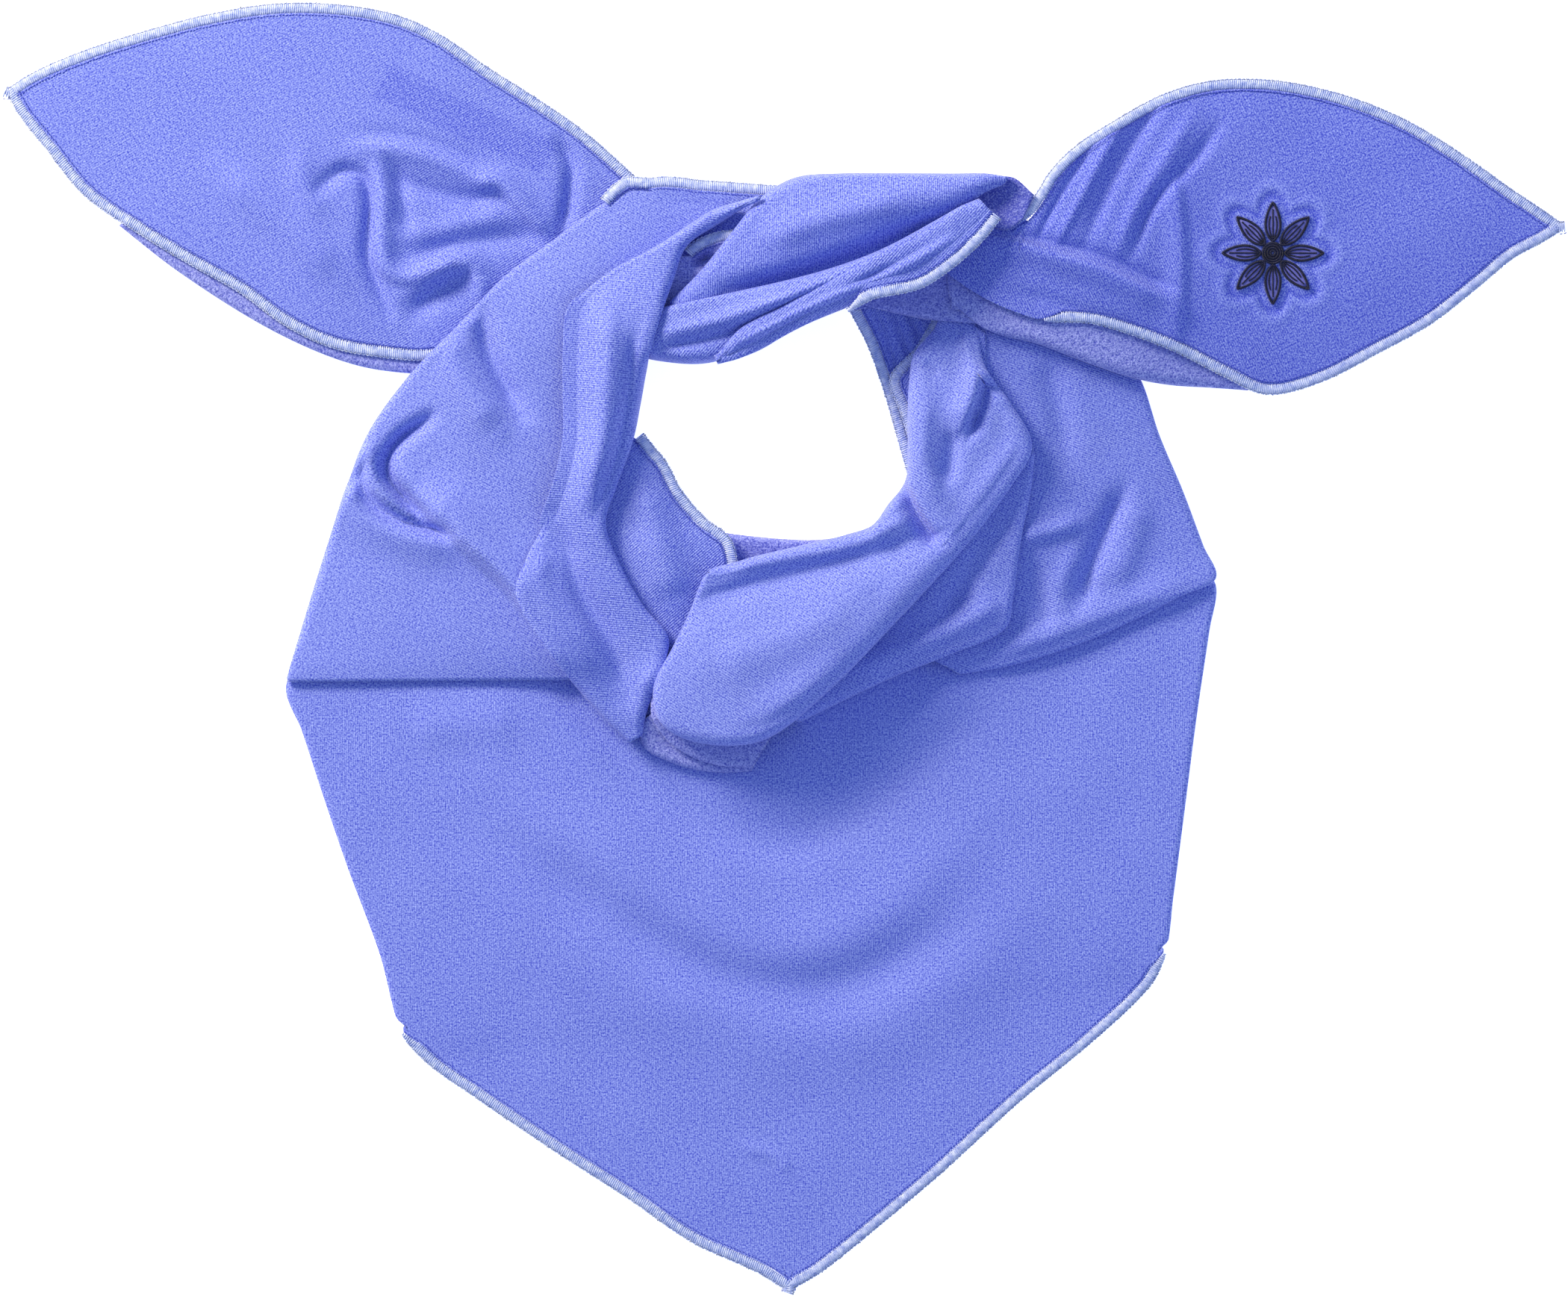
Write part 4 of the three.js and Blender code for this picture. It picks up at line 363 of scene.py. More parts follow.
# Grid of the dressed cloth and of the pile's height map
FINE = 2.08
MOTIF_FINE = 1.3
MOTIF_PANEL = "tail_right"
CURL_STEPS = 9
BACK_STEPS = 3
EDGE_STEPS = CURL_STEPS + BACK_STEPS
FLAT_STEP = 0.55
SHOWN_CLOTH = 1.2
CELL = 1.0
MARGIN = 30
SOFT_REACH = 2
FILL_TIMES = 3
LEAST = 1e-9

# Turned-back edges and bound ones; the MOST values are shares of a panel's width
TIGHT_TURN = CLOTH + 2 * CLEARANCE
HEM_INSET = HEM_WIDTH - CLEARANCE
HEM_FADE = 0.2
TUCKED = 0.25
FLAP_FADE = 12
LEAST_SLANT = 0.45
SLANT_STEP = 0.02
MOST_BULGE = 0.3
MOST_INSET = 0.4
MOST_START = 0.45
MOST_FLAP = 0.9

# Folds, the cloth's unevenness, and how it rises over what lies below
FOLD_START = 0.35
FOLD_FADE = 0.25
CURVE_STEP = 0.25
WAVES = 7
WAVE_SIZE = 70
WAVE_SPAN = (0.6, 1.6)
WAVE_PEAK = 3
LOW_LIFT = 20
LOW_WAVE = 0.22
HIGH_WAVE = 0.3
TENT_ROUNDS = 160
TENT_KEEP = 0.985
EVEN_ROUNDS = 2
NEAR_GAP = 0.1

# Column of a panel's grid at each edge
END = {"a": 0, "b": -1}


def place_mm(u, v):
    return (np.asarray(u, float) / 100 - 0.5) * SPREAD, (0.5 - np.asarray(v, float) / 100) * DROP


def mix(one, two, share):
    return one + (two - one) * share


def unit(vectors):
    return vectors / np.maximum(np.linalg.norm(vectors, axis=-1, keepdims=True), LEAST)


def bell(distance, width):
    return np.exp(-((distance / width) ** 2))


def spread_max(grid, reach):
    """Each cell takes the highest value within reach of it."""
    for axis in (0, 1):
        out = grid.copy()
        for shift in range(1, reach + 1):
            for way in (shift, -shift):
                out = np.maximum(out, np.roll(grid, way, axis))
        grid = out
    return grid


def blur(grid, reach):
    weights = np.exp(-((np.arange(-2 * reach, 2 * reach + 1) / reach) ** 2))
    weights /= weights.sum()
    for axis in (0, 1):
        out = np.zeros_like(grid)
        for k, weight in enumerate(weights):
            out += weight * np.roll(grid, k - 2 * reach, axis)
        grid = out
    return grid


class Pile:
    """Height of everything laid so far, in millimetres."""

    def __init__(self):
        self.nx = int((SPREAD + 2 * MARGIN) / CELL)
        self.ny = int((DROP + 2 * MARGIN) / CELL)
        self.height = np.zeros((self.ny, self.nx))
        self.refresh()

    def refresh(self):
        self.near = spread_max(self.height, 1)
        self.soft = blur(spread_max(self.height, SOFT_REACH), SOFT_REACH)

    def add(self, points):
        column = np.clip(np.rint(points[:, 0] / CELL + self.nx / 2), 0, self.nx - 1).astype(int)
        row = np.clip(np.rint(points[:, 1] / CELL + self.ny / 2), 0, self.ny - 1).astype(int)
        np.maximum.at(self.height, (row, column), points[:, 2])

    def read(self, grid, x, y):
        fx = np.clip(x / CELL + self.nx / 2, 0, self.nx - 2)
        fy = np.clip(y / CELL + self.ny / 2, 0, self.ny - 2)
        c, r = fx.astype(int), fy.astype(int)
        a, b = fx - c, fy - r
        return (grid[r, c] * (1 - a) * (1 - b) + grid[r, c + 1] * a * (1 - b)
                + grid[r + 1, c] * (1 - a) * b + grid[r + 1, c + 1] * a * b)


def smooth_path(points):
    """A Catmull-Rom curve through the points of a fold."""
    p = np.vstack([2 * points[0] - points[1], points, 2 * points[-1] - points[-2]])
    out = []
    for i in range(1, len(p) - 2):
        for t in np.arange(0, 1, CURVE_STEP):
            out.append(0.5 * (2 * p[i] + (p[i + 1] - p[i - 1]) * t
                              + (2 * p[i - 1] - 5 * p[i] + 4 * p[i + 1] - p[i + 2]) * t ** 2
                              + (3 * p[i] - p[i - 1] - 3 * p[i + 1] + p[i + 2]) * t ** 3))
    out.append(points[-1])
    return np.array(out)


def fold_height(row, lift, x, y):
    """A ridge or valley along a smooth path, bell shaped to each side."""
    height, left, right = row[0] * lift / 100, row[1] * FOLD_WIDTH / 100, row[2] * FOLD_WIDTH / 100
    flat = np.array(row[3:], float).reshape(-1, 2)
    path = smooth_path(np.stack(place_mm(flat[:, 0], flat[:, 1]), 1))
    best = np.full(x.shape, np.inf)
    side = np.zeros(x.shape)
    along = np.zeros(x.shape)
    for i in range(len(path) - 1):
        dx, dy = path[i + 1] - path[i]
        share = np.clip(((x - path[i, 0]) * dx + (y - path[i, 1]) * dy) / (dx * dx + dy * dy), 0, 1)
        ox, oy = x - path[i, 0] - dx * share, y - path[i, 1] - dy * share
        distance = np.hypot(ox, oy)
        closer = distance < best
        best = np.where(closer, distance, best)
        side = np.where(closer, dx * oy - dy * ox, side)
        along = np.where(closer, i + share, along)
    width = np.where(side > 0, left, right)
    end = np.minimum(along, len(path) - 1 - along) / (len(path) - 1)
    fade = np.clip(FOLD_START + end / FOLD_FADE, 0, 1)
    return height * fade * bell(best, width)


def undulation(x, y, seed, height):
    """Gentle unevenness of a lying cloth, from a few long waves."""
    rng = np.random.default_rng(seed)
    total = np.zeros(x.shape)
    for _ in range(WAVES):
        angle, phase = rng.uniform(0, 2 * math.pi, 2)
        length = WAVE_SIZE * rng.uniform(*WAVE_SPAN)
        total += np.sin((x * math.cos(angle) + y * math.sin(angle)) * 2 * math.pi / length + phase)
    return total * height / WAVE_PEAK


def around(grid):
    """Mean of the four neighbours of each point."""
    padded = np.pad(grid, 1, mode="edge")
    return (padded[:-2, 1:-1] + padded[2:, 1:-1] + padded[1:-1, :-2] + padded[1:-1, 2:]) / 4


def tent(need):
    """Raises a grid where it must rise and lets the raise die away softly round it."""
    rise = need
    for _ in range(TENT_ROUNDS):
        rise = np.maximum(need, around(rise) * TENT_KEEP)
    return rise


def even(grid):
    """Evens out small steps of a grid."""
    for _ in range(EVEN_ROUNDS):
        grid = (grid + around(grid)) / 2
    return grid


def dense(grid, times):
    """More points on the surface of a grid, joined straight."""
    for axis in (0, 1):
        count = grid.shape[axis]
        spots = np.linspace(0, count - 1, (count - 1) * times + 1)
        low = np.minimum(spots.astype(int), count - 2)
        share = (spots - low).reshape((-1, 1, 1) if axis == 0 else (1, -1, 1))
        grid = mix(np.take(grid, low, axis), np.take(grid, low + 1, axis), share)
    return grid.reshape(-1, 3)


class Cloth:
    """One laid panel: grids of points on the face and the back of the cloth."""

    def __init__(self, number, panel, pile):
        self.panel, self.pile = panel, pile
        rows = np.array(panel["rows"], float)
        self.rows = rows.copy()
        self.rows[:, 0], self.rows[:, 1] = place_mm(rows[:, 0], rows[:, 1])
        self.rows[:, 2], self.rows[:, 3] = place_mm(rows[:, 2], rows[:, 3])
        self.rows[:, 4:7] *= panel["lift"] / 100
        self.rows[:, 7:] *= panel["turn"] / 100
        step = np.diff(self.rows, axis=0)
        self.stride = np.maximum(np.hypot(step[:, 0], step[:, 1]), np.hypot(step[:, 2], step[:, 3]))
        self.knots = np.concatenate([[0], np.cumsum(self.stride)])
        fine = MOTIF_FINE if panel["name"] == MOTIF_PANEL else FINE
        spots = [np.zeros(1)]
        for i, length in enumerate(self.stride):
            count = max(1, round(length / fine))
            spots.append(i + np.arange(1, count + 1) / count)
        self.places = np.concatenate(spots)
        self.turned = {"a": bool((rows[:, 7] > 0).any()), "b": bool((rows[:, 8] > 0).any())}
        self.lay(number, fine)

    def at(self, places):
        """The panel's row at any place along it, on a smooth curve through the table's rows."""
        last = len(self.rows) - 1
        i = np.clip(np.floor(places).astype(int), 0, last - 1)
        share = (places - i)[:, None]
        low, high = np.maximum(np.arange(last + 1) - 1, 0), np.minimum(np.arange(last + 1) + 1, last)
        slope = (self.rows[high] - self.rows[low]) / (self.knots[high] - self.knots[low])[:, None]
        span = self.stride[i][:, None]
        ease = share * share * (3 - 2 * share)
        curve = (mix(self.rows[i], self.rows[i + 1], ease)
                 + share * (1 - share) ** 2 * span * slope[i]
                 + share * share * (share - 1) * span * slope[i + 1])
        straight = mix(self.rows[i], self.rows[i + 1], share)
        return np.hstack([curve[:, :7], straight[:, 7:]])

    def hems(self, edge):
        return [hem for hem in HEMS if hem["panel"] == self.panel["name"] and hem["edge"] == edge]

    def bound(self, edge, places):
        """Share of an edge that is bound, 1 along a binding."""
        reach = np.full(places.shape, -1.0)
        for hem in self.hems(edge):
            reach = np.maximum(reach, np.minimum(places - hem["from"], hem["to"] - places))
        return np.clip(1 + reach / HEM_FADE, 0, 1)

    def bind_width(self, edge, places):
        """Share of the full binding: one that comes out from under a fold starts narrow."""
        share = np.ones(places.shape)
        for hem in self.hems(edge):
            if hem["tuck"]:
                wide = TUCKED + (places - hem["from"]) / hem["tuck"]
                share = np.minimum(share, np.clip(wide, TUCKED, 1))
        return share

    def edge(self, name, places):
        """One rail at the places: points, way inward, and how far it is turned back or bound."""
        row = self.at(places)
        last = len(self.rows) - 1
        k = 0 if name == "a" else 2
        across = row[:, 2:4] - row[:, 0:2]
        width = np.hypot(across[:, 0], across[:, 1])
        inward = across / width[:, None] * (1 if name == "a" else -1)
        ahead = self.at(np.minimum(places + SLANT_STEP, last))[:, k:k + 2]
        behind = self.at(np.maximum(places - SLANT_STEP, 0))[:, k:k + 2]
        tangent = ahead - behind
        length = np.hypot(tangent[:, 0], tangent[:, 1])
        cross = np.abs(tangent[:, 0] * inward[:, 1] - tangent[:, 1] * inward[:, 0]) / length
        slant = np.maximum(cross, LEAST_SLANT)
        turn = row[:, 7 if name == "a" else 8]
        bound = self.bound(name, places)
        inset = HEM_INSET * bound * self.bind_width(name, places) / slant
        return {
            "point": row[:, k:k + 2], "inward": inward, "width": width, "turn": turn, "slant": slant,
            "inset": np.minimum(inset, MOST_INSET * width),
            "folded": np.clip(turn / TIGHT_TURN / 2, 0, 1) * (1 - bound),
        }

    def lay(self, number, fine):
        """Sets the panel's top on the pile, with its turned-back edges below it."""
        panel, pile = self.panel, self.pile
        row = self.at(self.places)
        edges = {name: self.edge(name, self.places) for name in ("a", "b")}
        width = edges["a"]["width"]
        start = {}
        for name, edge in edges.items():
            bulge = np.minimum(panel["bulge"], MOST_BULGE * width)
            flat = edge["inset"] + (EDGE_STEPS * FLAT_STEP if self.turned[name] else 0)
            full = mix(flat, CLOTH / 2 + bulge, edge["folded"])
            start[name] = np.minimum(full, MOST_START * width)
        count = max(4, round(width.max() / fine))
        j = np.linspace(0, 1, count + 1)[None, :]
        d = mix(start["a"][:, None], (width - start["b"])[:, None], j)
        point = edges["a"]["point"]
        inward = edges["a"]["inward"]
        x = point[:, :1] + inward[:, :1] * d
        y = point[:, 1:] + inward[:, 1:] * d
        t = d / width[:, None]
        ha, hm, hb = row[:, 4:5], row[:, 5:6], row[:, 6:7]
        form = mix(ha, hb, t) + (hm - (ha + hb) / 2) * 4 * t * (1 - t)
        for fold in panel["folds"]:
            form += fold_height(fold, panel["lift"], x, y)
        form += undulation(x, y, number, LOW_WAVE if panel["lift"] < LOW_LIFT else HIGH_WAVE)
        if panel["name"] == MOTIF_PANEL:
            form += pressed(x, y)
        floor = pile.read(pile.soft, x, y) + CLOTH / 2
        backs = {}
        for name, edge in edges.items():
            if not self.turned[name]:
                continue
            k = np.arange(BACK_STEPS + 1)[None, :] / BACK_STEPS
            far = np.minimum(start[name][:, None] + edge["turn"][:, None] * k, MOST_FLAP * width[:, None])
            bx = edge["point"][:, :1] + edge["inward"][:, :1] * far
            by = edge["point"][:, 1:] + edge["inward"][:, 1:] * far
            bz = np.maximum(pile.read(pile.soft, bx, by), pile.read(pile.near, bx, by)) + CLOTH / 2
            backs[name] = (far, bz)
            own = d if name == "a" else width[:, None] - d
            low, high = far[:, :1], far[:, -1:]
            share = np.clip((own - low) / np.maximum(high - low, 1), 0, 1)
            below = mix(bz[:, :1], bz[:, -1:], share)
            reach = np.clip(1 - (own - high) / FLAP_FADE, 0, 1)
            need = below + TIGHT_TURN * edge["folded"][:, None]
            floor = np.maximum(floor, mix(floor, need, reach * (edge["folded"][:, None] > 0)))
        near = pile.read(pile.near, x, y) + CLOTH / 2 + NEAR_GAP
        need = np.maximum(0, np.maximum(floor, near) - form)
        z = np.maximum(form + even(tent(need)), near)
        z = np.maximum(even(z), near)
        self.top = np.stack([x, y, z], 2)
        self.profile(edges, start, backs)
        self.shell()

    def profile(self, edges, start, backs):
        """Rows of points from the end of one turned-back edge to the end of the other."""
        parts, weave = [self.top], [self.top[:, :, :2]]
        for name, (far, bz) in backs.items():
            edge, first = edges[name], self.top[:, END[name]]
            top = first[:, 2]
            middle, half = (top + bz[:, 0]) / 2, (top - bz[:, 0]) / 2
            bulge = start[name] - CLOTH / 2
            spots = [(far[:, k], bz[:, k]) for k in range(BACK_STEPS, 0, -1)]
            for k in range(CURL_STEPS):
                angle = math.pi * (k / CURL_STEPS - 0.5)
                spots.append((start[name] - bulge * math.cos(angle), middle + half * math.sin(angle)))
            side = np.stack([self.put(edge, start[name], order, away, z, top)
                             for order, (away, z) in enumerate(spots)], 1)
            chain = np.concatenate([side, first[:, None]], 1)
            steps = np.linalg.norm(np.diff(chain, axis=1), axis=2)
            run = np.cumsum(steps[:, ::-1], axis=1)[:, ::-1]
            flat = first[:, None, :2] - edge["inward"][:, None, :] * run[:, :, None]
            if name == "a":
                parts.insert(0, side)
                weave.insert(0, flat)
            else:
                parts.append(side[:, ::-1])
                weave.append(flat[:, ::-1])
        self.middle, self.weave = np.concatenate(parts, 1), np.concatenate(weave, 1)

    @staticmethod
    def put(edge, start, order, away, z, top):
        """Points of one row of a turned-back edge, kept flat in the top where it isn't folded."""
        flat = edge["inset"] + order * FLAT_STEP
        spot = np.minimum(mix(flat, away, edge["folded"]), start + edge["turn"])
        xy = edge["point"] + edge["inward"] * spot[:, None]
        return np.column_stack([xy, mix(top, z, edge["folded"])])

    def shell(self):
        """Face and back of the cloth, which also go on the pile."""
        grid = self.middle
        normal = unit(np.cross(np.gradient(grid, axis=1), np.gradient(grid, axis=0)))
        first = EDGE_STEPS if self.turned["a"] else 0
        if normal[:, first:first + self.top.shape[1], 2].sum() < 0:
            normal = -normal
        self.face = grid + normal * SHOWN_CLOTH / 2
        self.back = grid - normal * SHOWN_CLOTH / 2
        for layer in (self.face, self.back):
            self.pile.add(dense(layer, FILL_TIMES))


def shell_mesh(name, face, back, weave, tone, ribs):
    """A closed thin mesh between two matching grids of points."""
    rows, columns = face.shape[:2]
    size = rows * columns
    index = np.arange(size).reshape(rows, columns)
    corners = [index[:-1, :-1], index[:-1, 1:], index[1:, 1:], index[1:, :-1]]
    top = np.stack(corners, -1).reshape(-1, 4)
    quads = [top, top[:, ::-1] + size]
    ring = np.concatenate([index[0, :-1], index[:-1, -1], index[-1, :0:-1], index[:0:-1, 0]])
    after = np.roll(ring, -1)
    quads.append(np.stack([after, ring, ring + size, after + size], 1))
    faces = np.concatenate(quads)
    points = np.concatenate([face.reshape(-1, 3), back.reshape(-1, 3)]) * MM
    a, b, c = points[top[:, 0]], points[top[:, 1]], points[top[:, 2]]
    if np.cross(b - a, c - a)[:, 2].sum() < 0:
        faces = faces[:, ::-1]
    mesh = bpy.data.meshes.new(name)
    mesh.from_pydata(points.tolist(), [], faces.tolist())
    both = np.concatenate([weave.reshape(-1, 2)] * 2)
    loops = np.empty(len(mesh.loops), int)
    mesh.loops.foreach_get("vertex_index", loops)
    layer = mesh.uv_layers.new(name="weave")
    layer.data.foreach_set("uv", both[loops].astype(np.float32).ravel())
    for label, values in (("tone", tone), ("ribs", ribs)):
        attribute = mesh.attributes.new(label, "FLOAT", "POINT")
        attribute.data.foreach_set("value", np.concatenate([values.ravel()] * 2).astype(np.float32))
    mesh.shade_smooth()
    return new_piece(name, mesh)


def new_object(name, data):
    made = bpy.data.objects.new(name, data)
    bpy.context.scene.collection.objects.link(made)
    return made


def new_piece(name, mesh):
    piece = new_object(name, mesh)
    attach(piece, "root")
    return piece


# Overlock binding: cross threads over a flat core, and a needle line inside it.
# The section's rows are [across, up, lean] in shares of half the width, of half
# the thickness and of a stitch's lean; RISE lifts a short stitch's middle.
STEEP = 0.95
TIP = 0.55
STITCH_PITCH = 0.95
THREAD = 0.38
STITCH_REACH = 0.05
STITCH_LEAN = 0.55
LEAN_SPREAD = 0.3
SECTION = np.array([
    [-1.0, 0.30, -0.5], [-0.55, 0.62, -0.35], [0.1, 0.72, 0.0], [0.65, 0.52, 0.3],
    [0.97, 0.0, 0.5], [0.4, -0.52, 0.2], [-0.9, -0.5, -0.4],
])
OUTER_AT = 0.9
OUTER_WAVE = 0.25
OUTER_THREAD = 0.32
CORE_PITCH = 2.0
CORE_WIDE = 0.84
CORE_FLAT = 0.42
NEEDLE_PITCH = 1.5
NEEDLE_THREAD = 0.22
NEEDLE_AWAY = 0.65
NEEDLE_SPREAD = 0.1
NEEDLE_LEAN = 0.3
NEEDLE_RISE = np.array([-0.22, 0.02, 0.1, 0.02, -0.22])
STITCH_SPOTS = np.array([-0.5, -0.25, 0, 0.25, 0.5])
STITCH_LONG = 0.8
TUCK_LENGTH = 11
PATH_STEP = 1.0
PATH_ROUNDS = 6
PILE_SPOTS = 9


class Strands:
    """Gathers round threads and makes one mesh of them."""

    def __init__(self):
        self.points, self.faces, self.materials, self.count = [], [], [], 0

    def add(self, paths, radius, sides, material=0, flat=1.0):
        """paths is threads x points x 3 in millimetres; flat squeezes the section's height."""
        paths = np.asarray(paths, float)
        threads, steps = paths.shape[:2]
        tangent = unit(np.gradient(paths, axis=1))
        guide = np.zeros_like(tangent)
        guide[..., 2] = 1
        steep = np.abs(tangent[..., 2]) > STEEP
        guide[steep] = (tangent[:, :1] * [1, 1, 0] + [1e-3, 0, 0]).repeat(steps, 1)[steep]
        side = unit(np.cross(tangent, guide))
        up = np.cross(side, tangent)
        angle = np.arange(sides) * 2 * math.pi / sides
        taper = np.ones(steps)
        taper[[0, -1]] = TIP
        size = (radius * taper)[None, :, None, None]
        ring = (side[:, :, None] * np.cos(angle)[None, None, :, None]
                + up[:, :, None] * (np.sin(angle) * flat)[None, None, :, None])
        points = paths[:, :, None] + ring * size
        base = np.arange(threads)[:, None, None] * steps * sides
        i = np.arange(steps - 1)[None, :, None] * sides
        k = np.arange(sides)[None, None, :]
        after = (k + 1) % sides
        one, two = base + i + k, base + i + after
        quads = np.stack([one, two, two + sides, one + sides], -1).reshape(-1, 4) + self.count
        self.faces.append(quads.tolist())
        caps = []
        for thread in range(threads):
            first = self.count + thread * steps * sides
            last = first + (steps - 1) * sides
            caps.append(list(range(first + sides - 1, first - 1, -1)))
            caps.append(list(range(last, last + sides)))
        self.faces.append(caps)
        self.materials.append(np.full(len(quads) + len(caps), material))
        self.points.append(points.reshape(-1, 3))
        self.count += threads * steps * sides

    def piece(self, name):
        mesh = bpy.data.meshes.new(name)
        mesh.from_pydata((np.concatenate(self.points) * MM).tolist(), [],
                         [face for faces in self.faces for face in faces])
        mesh.polygons.foreach_set("material_index", np.concatenate(self.materials).astype(np.int32))
        mesh.shade_smooth()
        return new_piece(name, mesh)


def spaced(path, pitch):
    """The path again at even steps, with its length."""
    run = np.concatenate([[0], np.cumsum(np.linalg.norm(np.diff(path, axis=0), axis=1))])
    count = max(2, round(run[-1] / pitch) + 1)
    spots = np.linspace(0, run[-1], count)
    return np.column_stack([np.interp(spots, run, path[:, k]) for k in range(3)]), run[-1]


def level_ways(places):
    """The level direction along a path at each place, and the one square to it."""
    way = np.gradient(places, axis=0)
    way[:, 2] = 0
    way = unit(way)
    return way, np.column_stack([way[:, 1], -way[:, 0], np.zeros(len(way))])


def even_steps(path, pitch, outward):
    """Even places along a binding and the level direction out of the cloth at each."""
    places, _ = spaced(path, pitch)
    _, out = level_ways(places)
    return places, out if (out[0] * outward).sum() > 0 else -out


def hem_path(hem, cloth, pile):
    """Middle line of a binding, smoothed in height and clear of what lies below."""
    chosen = (cloth.places >= hem["from"]) & (cloth.places <= hem["to"])
    places = cloth.places[chosen]
    edge = cloth.edge(hem["edge"], places)
    inset = HEM_WIDTH / 2 / edge["slant"]
    xy = edge["point"] + edge["inward"] * inset[:, None]
    path = np.column_stack([xy, cloth.top[chosen, END[hem["edge"]], 2]])

    def tips(key, near):
        return [[*map(float, place_mm(u, v)), near[2]] for u, v in hem[key]]

    path = np.array([*tips("before", path[0]), *path.tolist(), *tips("after", path[-1])])
    path, _ = spaced(path, PATH_STEP)
    for _ in range(PATH_ROUNDS):
        path[1:-1, 2] = (path[:-2, 2] + 2 * path[1:-1, 2] + path[2:, 2]) / 4
    low = pile.read(pile.near, path[:, 0], path[:, 1]) + HEM_THICKNESS / 2
    path[:, 2] = np.maximum(path[:, 2], low)
    return path


def bind(number, hem, cloth, pile):
    """Makes the thread-bound edge along one rail and returns its piece."""
    rng = np.random.default_rng(100 + number)
    path = hem_path(hem, cloth, pile)
    stitches, length = spaced(path, STITCH_PITCH)
    tangent, out = level_ways(stitches)
    middle = cloth.at(np.array([(hem["from"] + hem["to"]) / 2]))[0]
    centre = (middle[0:2] + middle[2:4]) / 2
    if ((stitches[:, :2] - centre) * out[:, :2]).sum() < 0:
        out = -out
    strands = Strands()
    half, thick = HEM_WIDTH / 2, HEM_THICKNESS / 2

    def share(count):
        run = np.linspace(0, length, count)
        return np.clip(TUCKED + run / TUCK_LENGTH, TUCKED, 1) if hem["tuck"] else np.ones(count)

    jitter = rng.normal(0, 1, (len(stitches), 3))
    reach = 1 + STITCH_REACH * jitter[:, 0]
    lean = STITCH_PITCH * (STITCH_LEAN + LEAN_SPREAD * jitter[:, 1])
    wide = share(len(stitches))
    across = (SECTION[None, :, 0] * reach[:, None] * wide[:, None] + 1 - wide[:, None]) * half
    paths = (stitches[:, None] + out[:, None] * across[:, :, None]
             + np.array([0, 0, 1.0]) * (SECTION[None, :, 1] * thick)[:, :, None]
             + tangent[:, None] * (SECTION[None, :, 2] * lean[:, None])[:, :, None])
    strands.add(paths, THREAD, 4)
    wave = np.where(np.arange(len(stitches)) % 2 == 0, 1, -1)[:, None]
    outer = stitches + out * (half * OUTER_AT + wave * OUTER_WAVE)
    strands.add(outer[None], OUTER_THREAD, 5)
    core, out_core = even_steps(path, CORE_PITCH, out[0])
    wide = share(len(core))
    core += out_core * (half * (1 - wide))[:, None]
    strands.add(core[None], half * CORE_WIDE * wide, 10, flat=CORE_FLAT)
    needle, out_needle = even_steps(path, NEEDLE_PITCH, out[0])
    wide = share(len(needle))
    line = needle - out_needle * (half * (2 * wide - 1) + NEEDLE_AWAY)[:, None]
    way = unit(np.gradient(line, axis=0))
    shift = rng.normal(0, NEEDLE_SPREAD, len(line))
    long = (STITCH_SPOTS * NEEDLE_PITCH * STITCH_LONG)[None, :, None]
    paths = (line[:, None] + way[:, None] * long
             + out_needle[:, None] * (shift[:, None] + STITCH_SPOTS[None] * NEEDLE_LEAN)[:, :, None])
    paths[..., 2] = pile.read(pile.over, paths[..., 0], paths[..., 1]) + NEEDLE_RISE[None]
    strands.add(paths, NEEDLE_THREAD, 5, 1)
    piece = strands.piece("overlock_" + hem["name"])
    piece.data.materials.append(EDGE)
    piece.data.materials.append(NEEDLE)
    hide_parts("hem_" + hem["name"])
    points = (stitches[:, None] + out[:, None] * (np.linspace(-1, 1, PILE_SPOTS)[None, :, None] * half)
              + [0, 0, thick * 0.8])
    pile.add(points.reshape(-1, 3))
    pile.add((points[:-1] + points[1:]).reshape(-1, 3) / 2)
    return piece


# Flower: eight pointed petals in outline, with veins, in a pressed contour
PETALS = 8
PETAL_LONG = MOTIF_SIZE / 2
PETAL_INNER = 0.24
PETAL_HALF = 0.155
PETAL_NARROWS = 0.12
DENT = 0.62
OUTLINE = {"width": 1.15, "pitch": 0.5, "radius": 0.3}
VEIN = {"width": 0.7, "pitch": 0.55, "radius": 0.26, "lift": 0.5}
RING = {"width": 1.2, "pitch": 0.5, "radius": 0.32}
RING_RADII = (1.2, 2.4, 3.6, 4.6)
VEINS = ((-0.5, 0.72), (0.0, 0.86), (0.5, 0.72))
VEIN_START = 0.3
FILL_ACROSS = np.linspace(-0.8, 0.8, 13)
FILL_ALONG = np.linspace(0.1, 0.9, 9)
SATIN_LIFT = 0.55
SATIN_RISE = np.array([-0.25, 0.15, 0.3, 0.15, -0.25])
FILL_LIFT = 0.25
FILL_THREAD = 0.36
CONTOUR_GAP = 3.4
CONTOUR_DEPTH = 0.9
CONTOUR_WIDE = 1.9
PUFF = 0.55
PUFF_AT = 4.2
PUFF_WIDE = 3.2


def flower_radius(angle):
    """Reach of the flower's outline: full at a petal's tip, DENT between two."""
    swell = np.abs(np.cos(angle * PETALS / 2)) ** 0.9
    return PETAL_LONG * mix(DENT, 1.0, swell)


def contour_distance(x, y):
    x0, y0 = place_mm(*MOTIF_AT)
    dx, dy = x - x0, y - y0
    return np.hypot(dx, dy) - flower_radius(np.arctan2(dy, dx)) - CONTOUR_GAP


def pressed(x, y):
    """Groove round the flower with the cloth puffed up beside it."""
    gap = contour_distance(x, y)
    return PUFF * bell(gap - PUFF_AT, PUFF_WIDE) - CONTOUR_DEPTH * bell(gap, CONTOUR_WIDE)


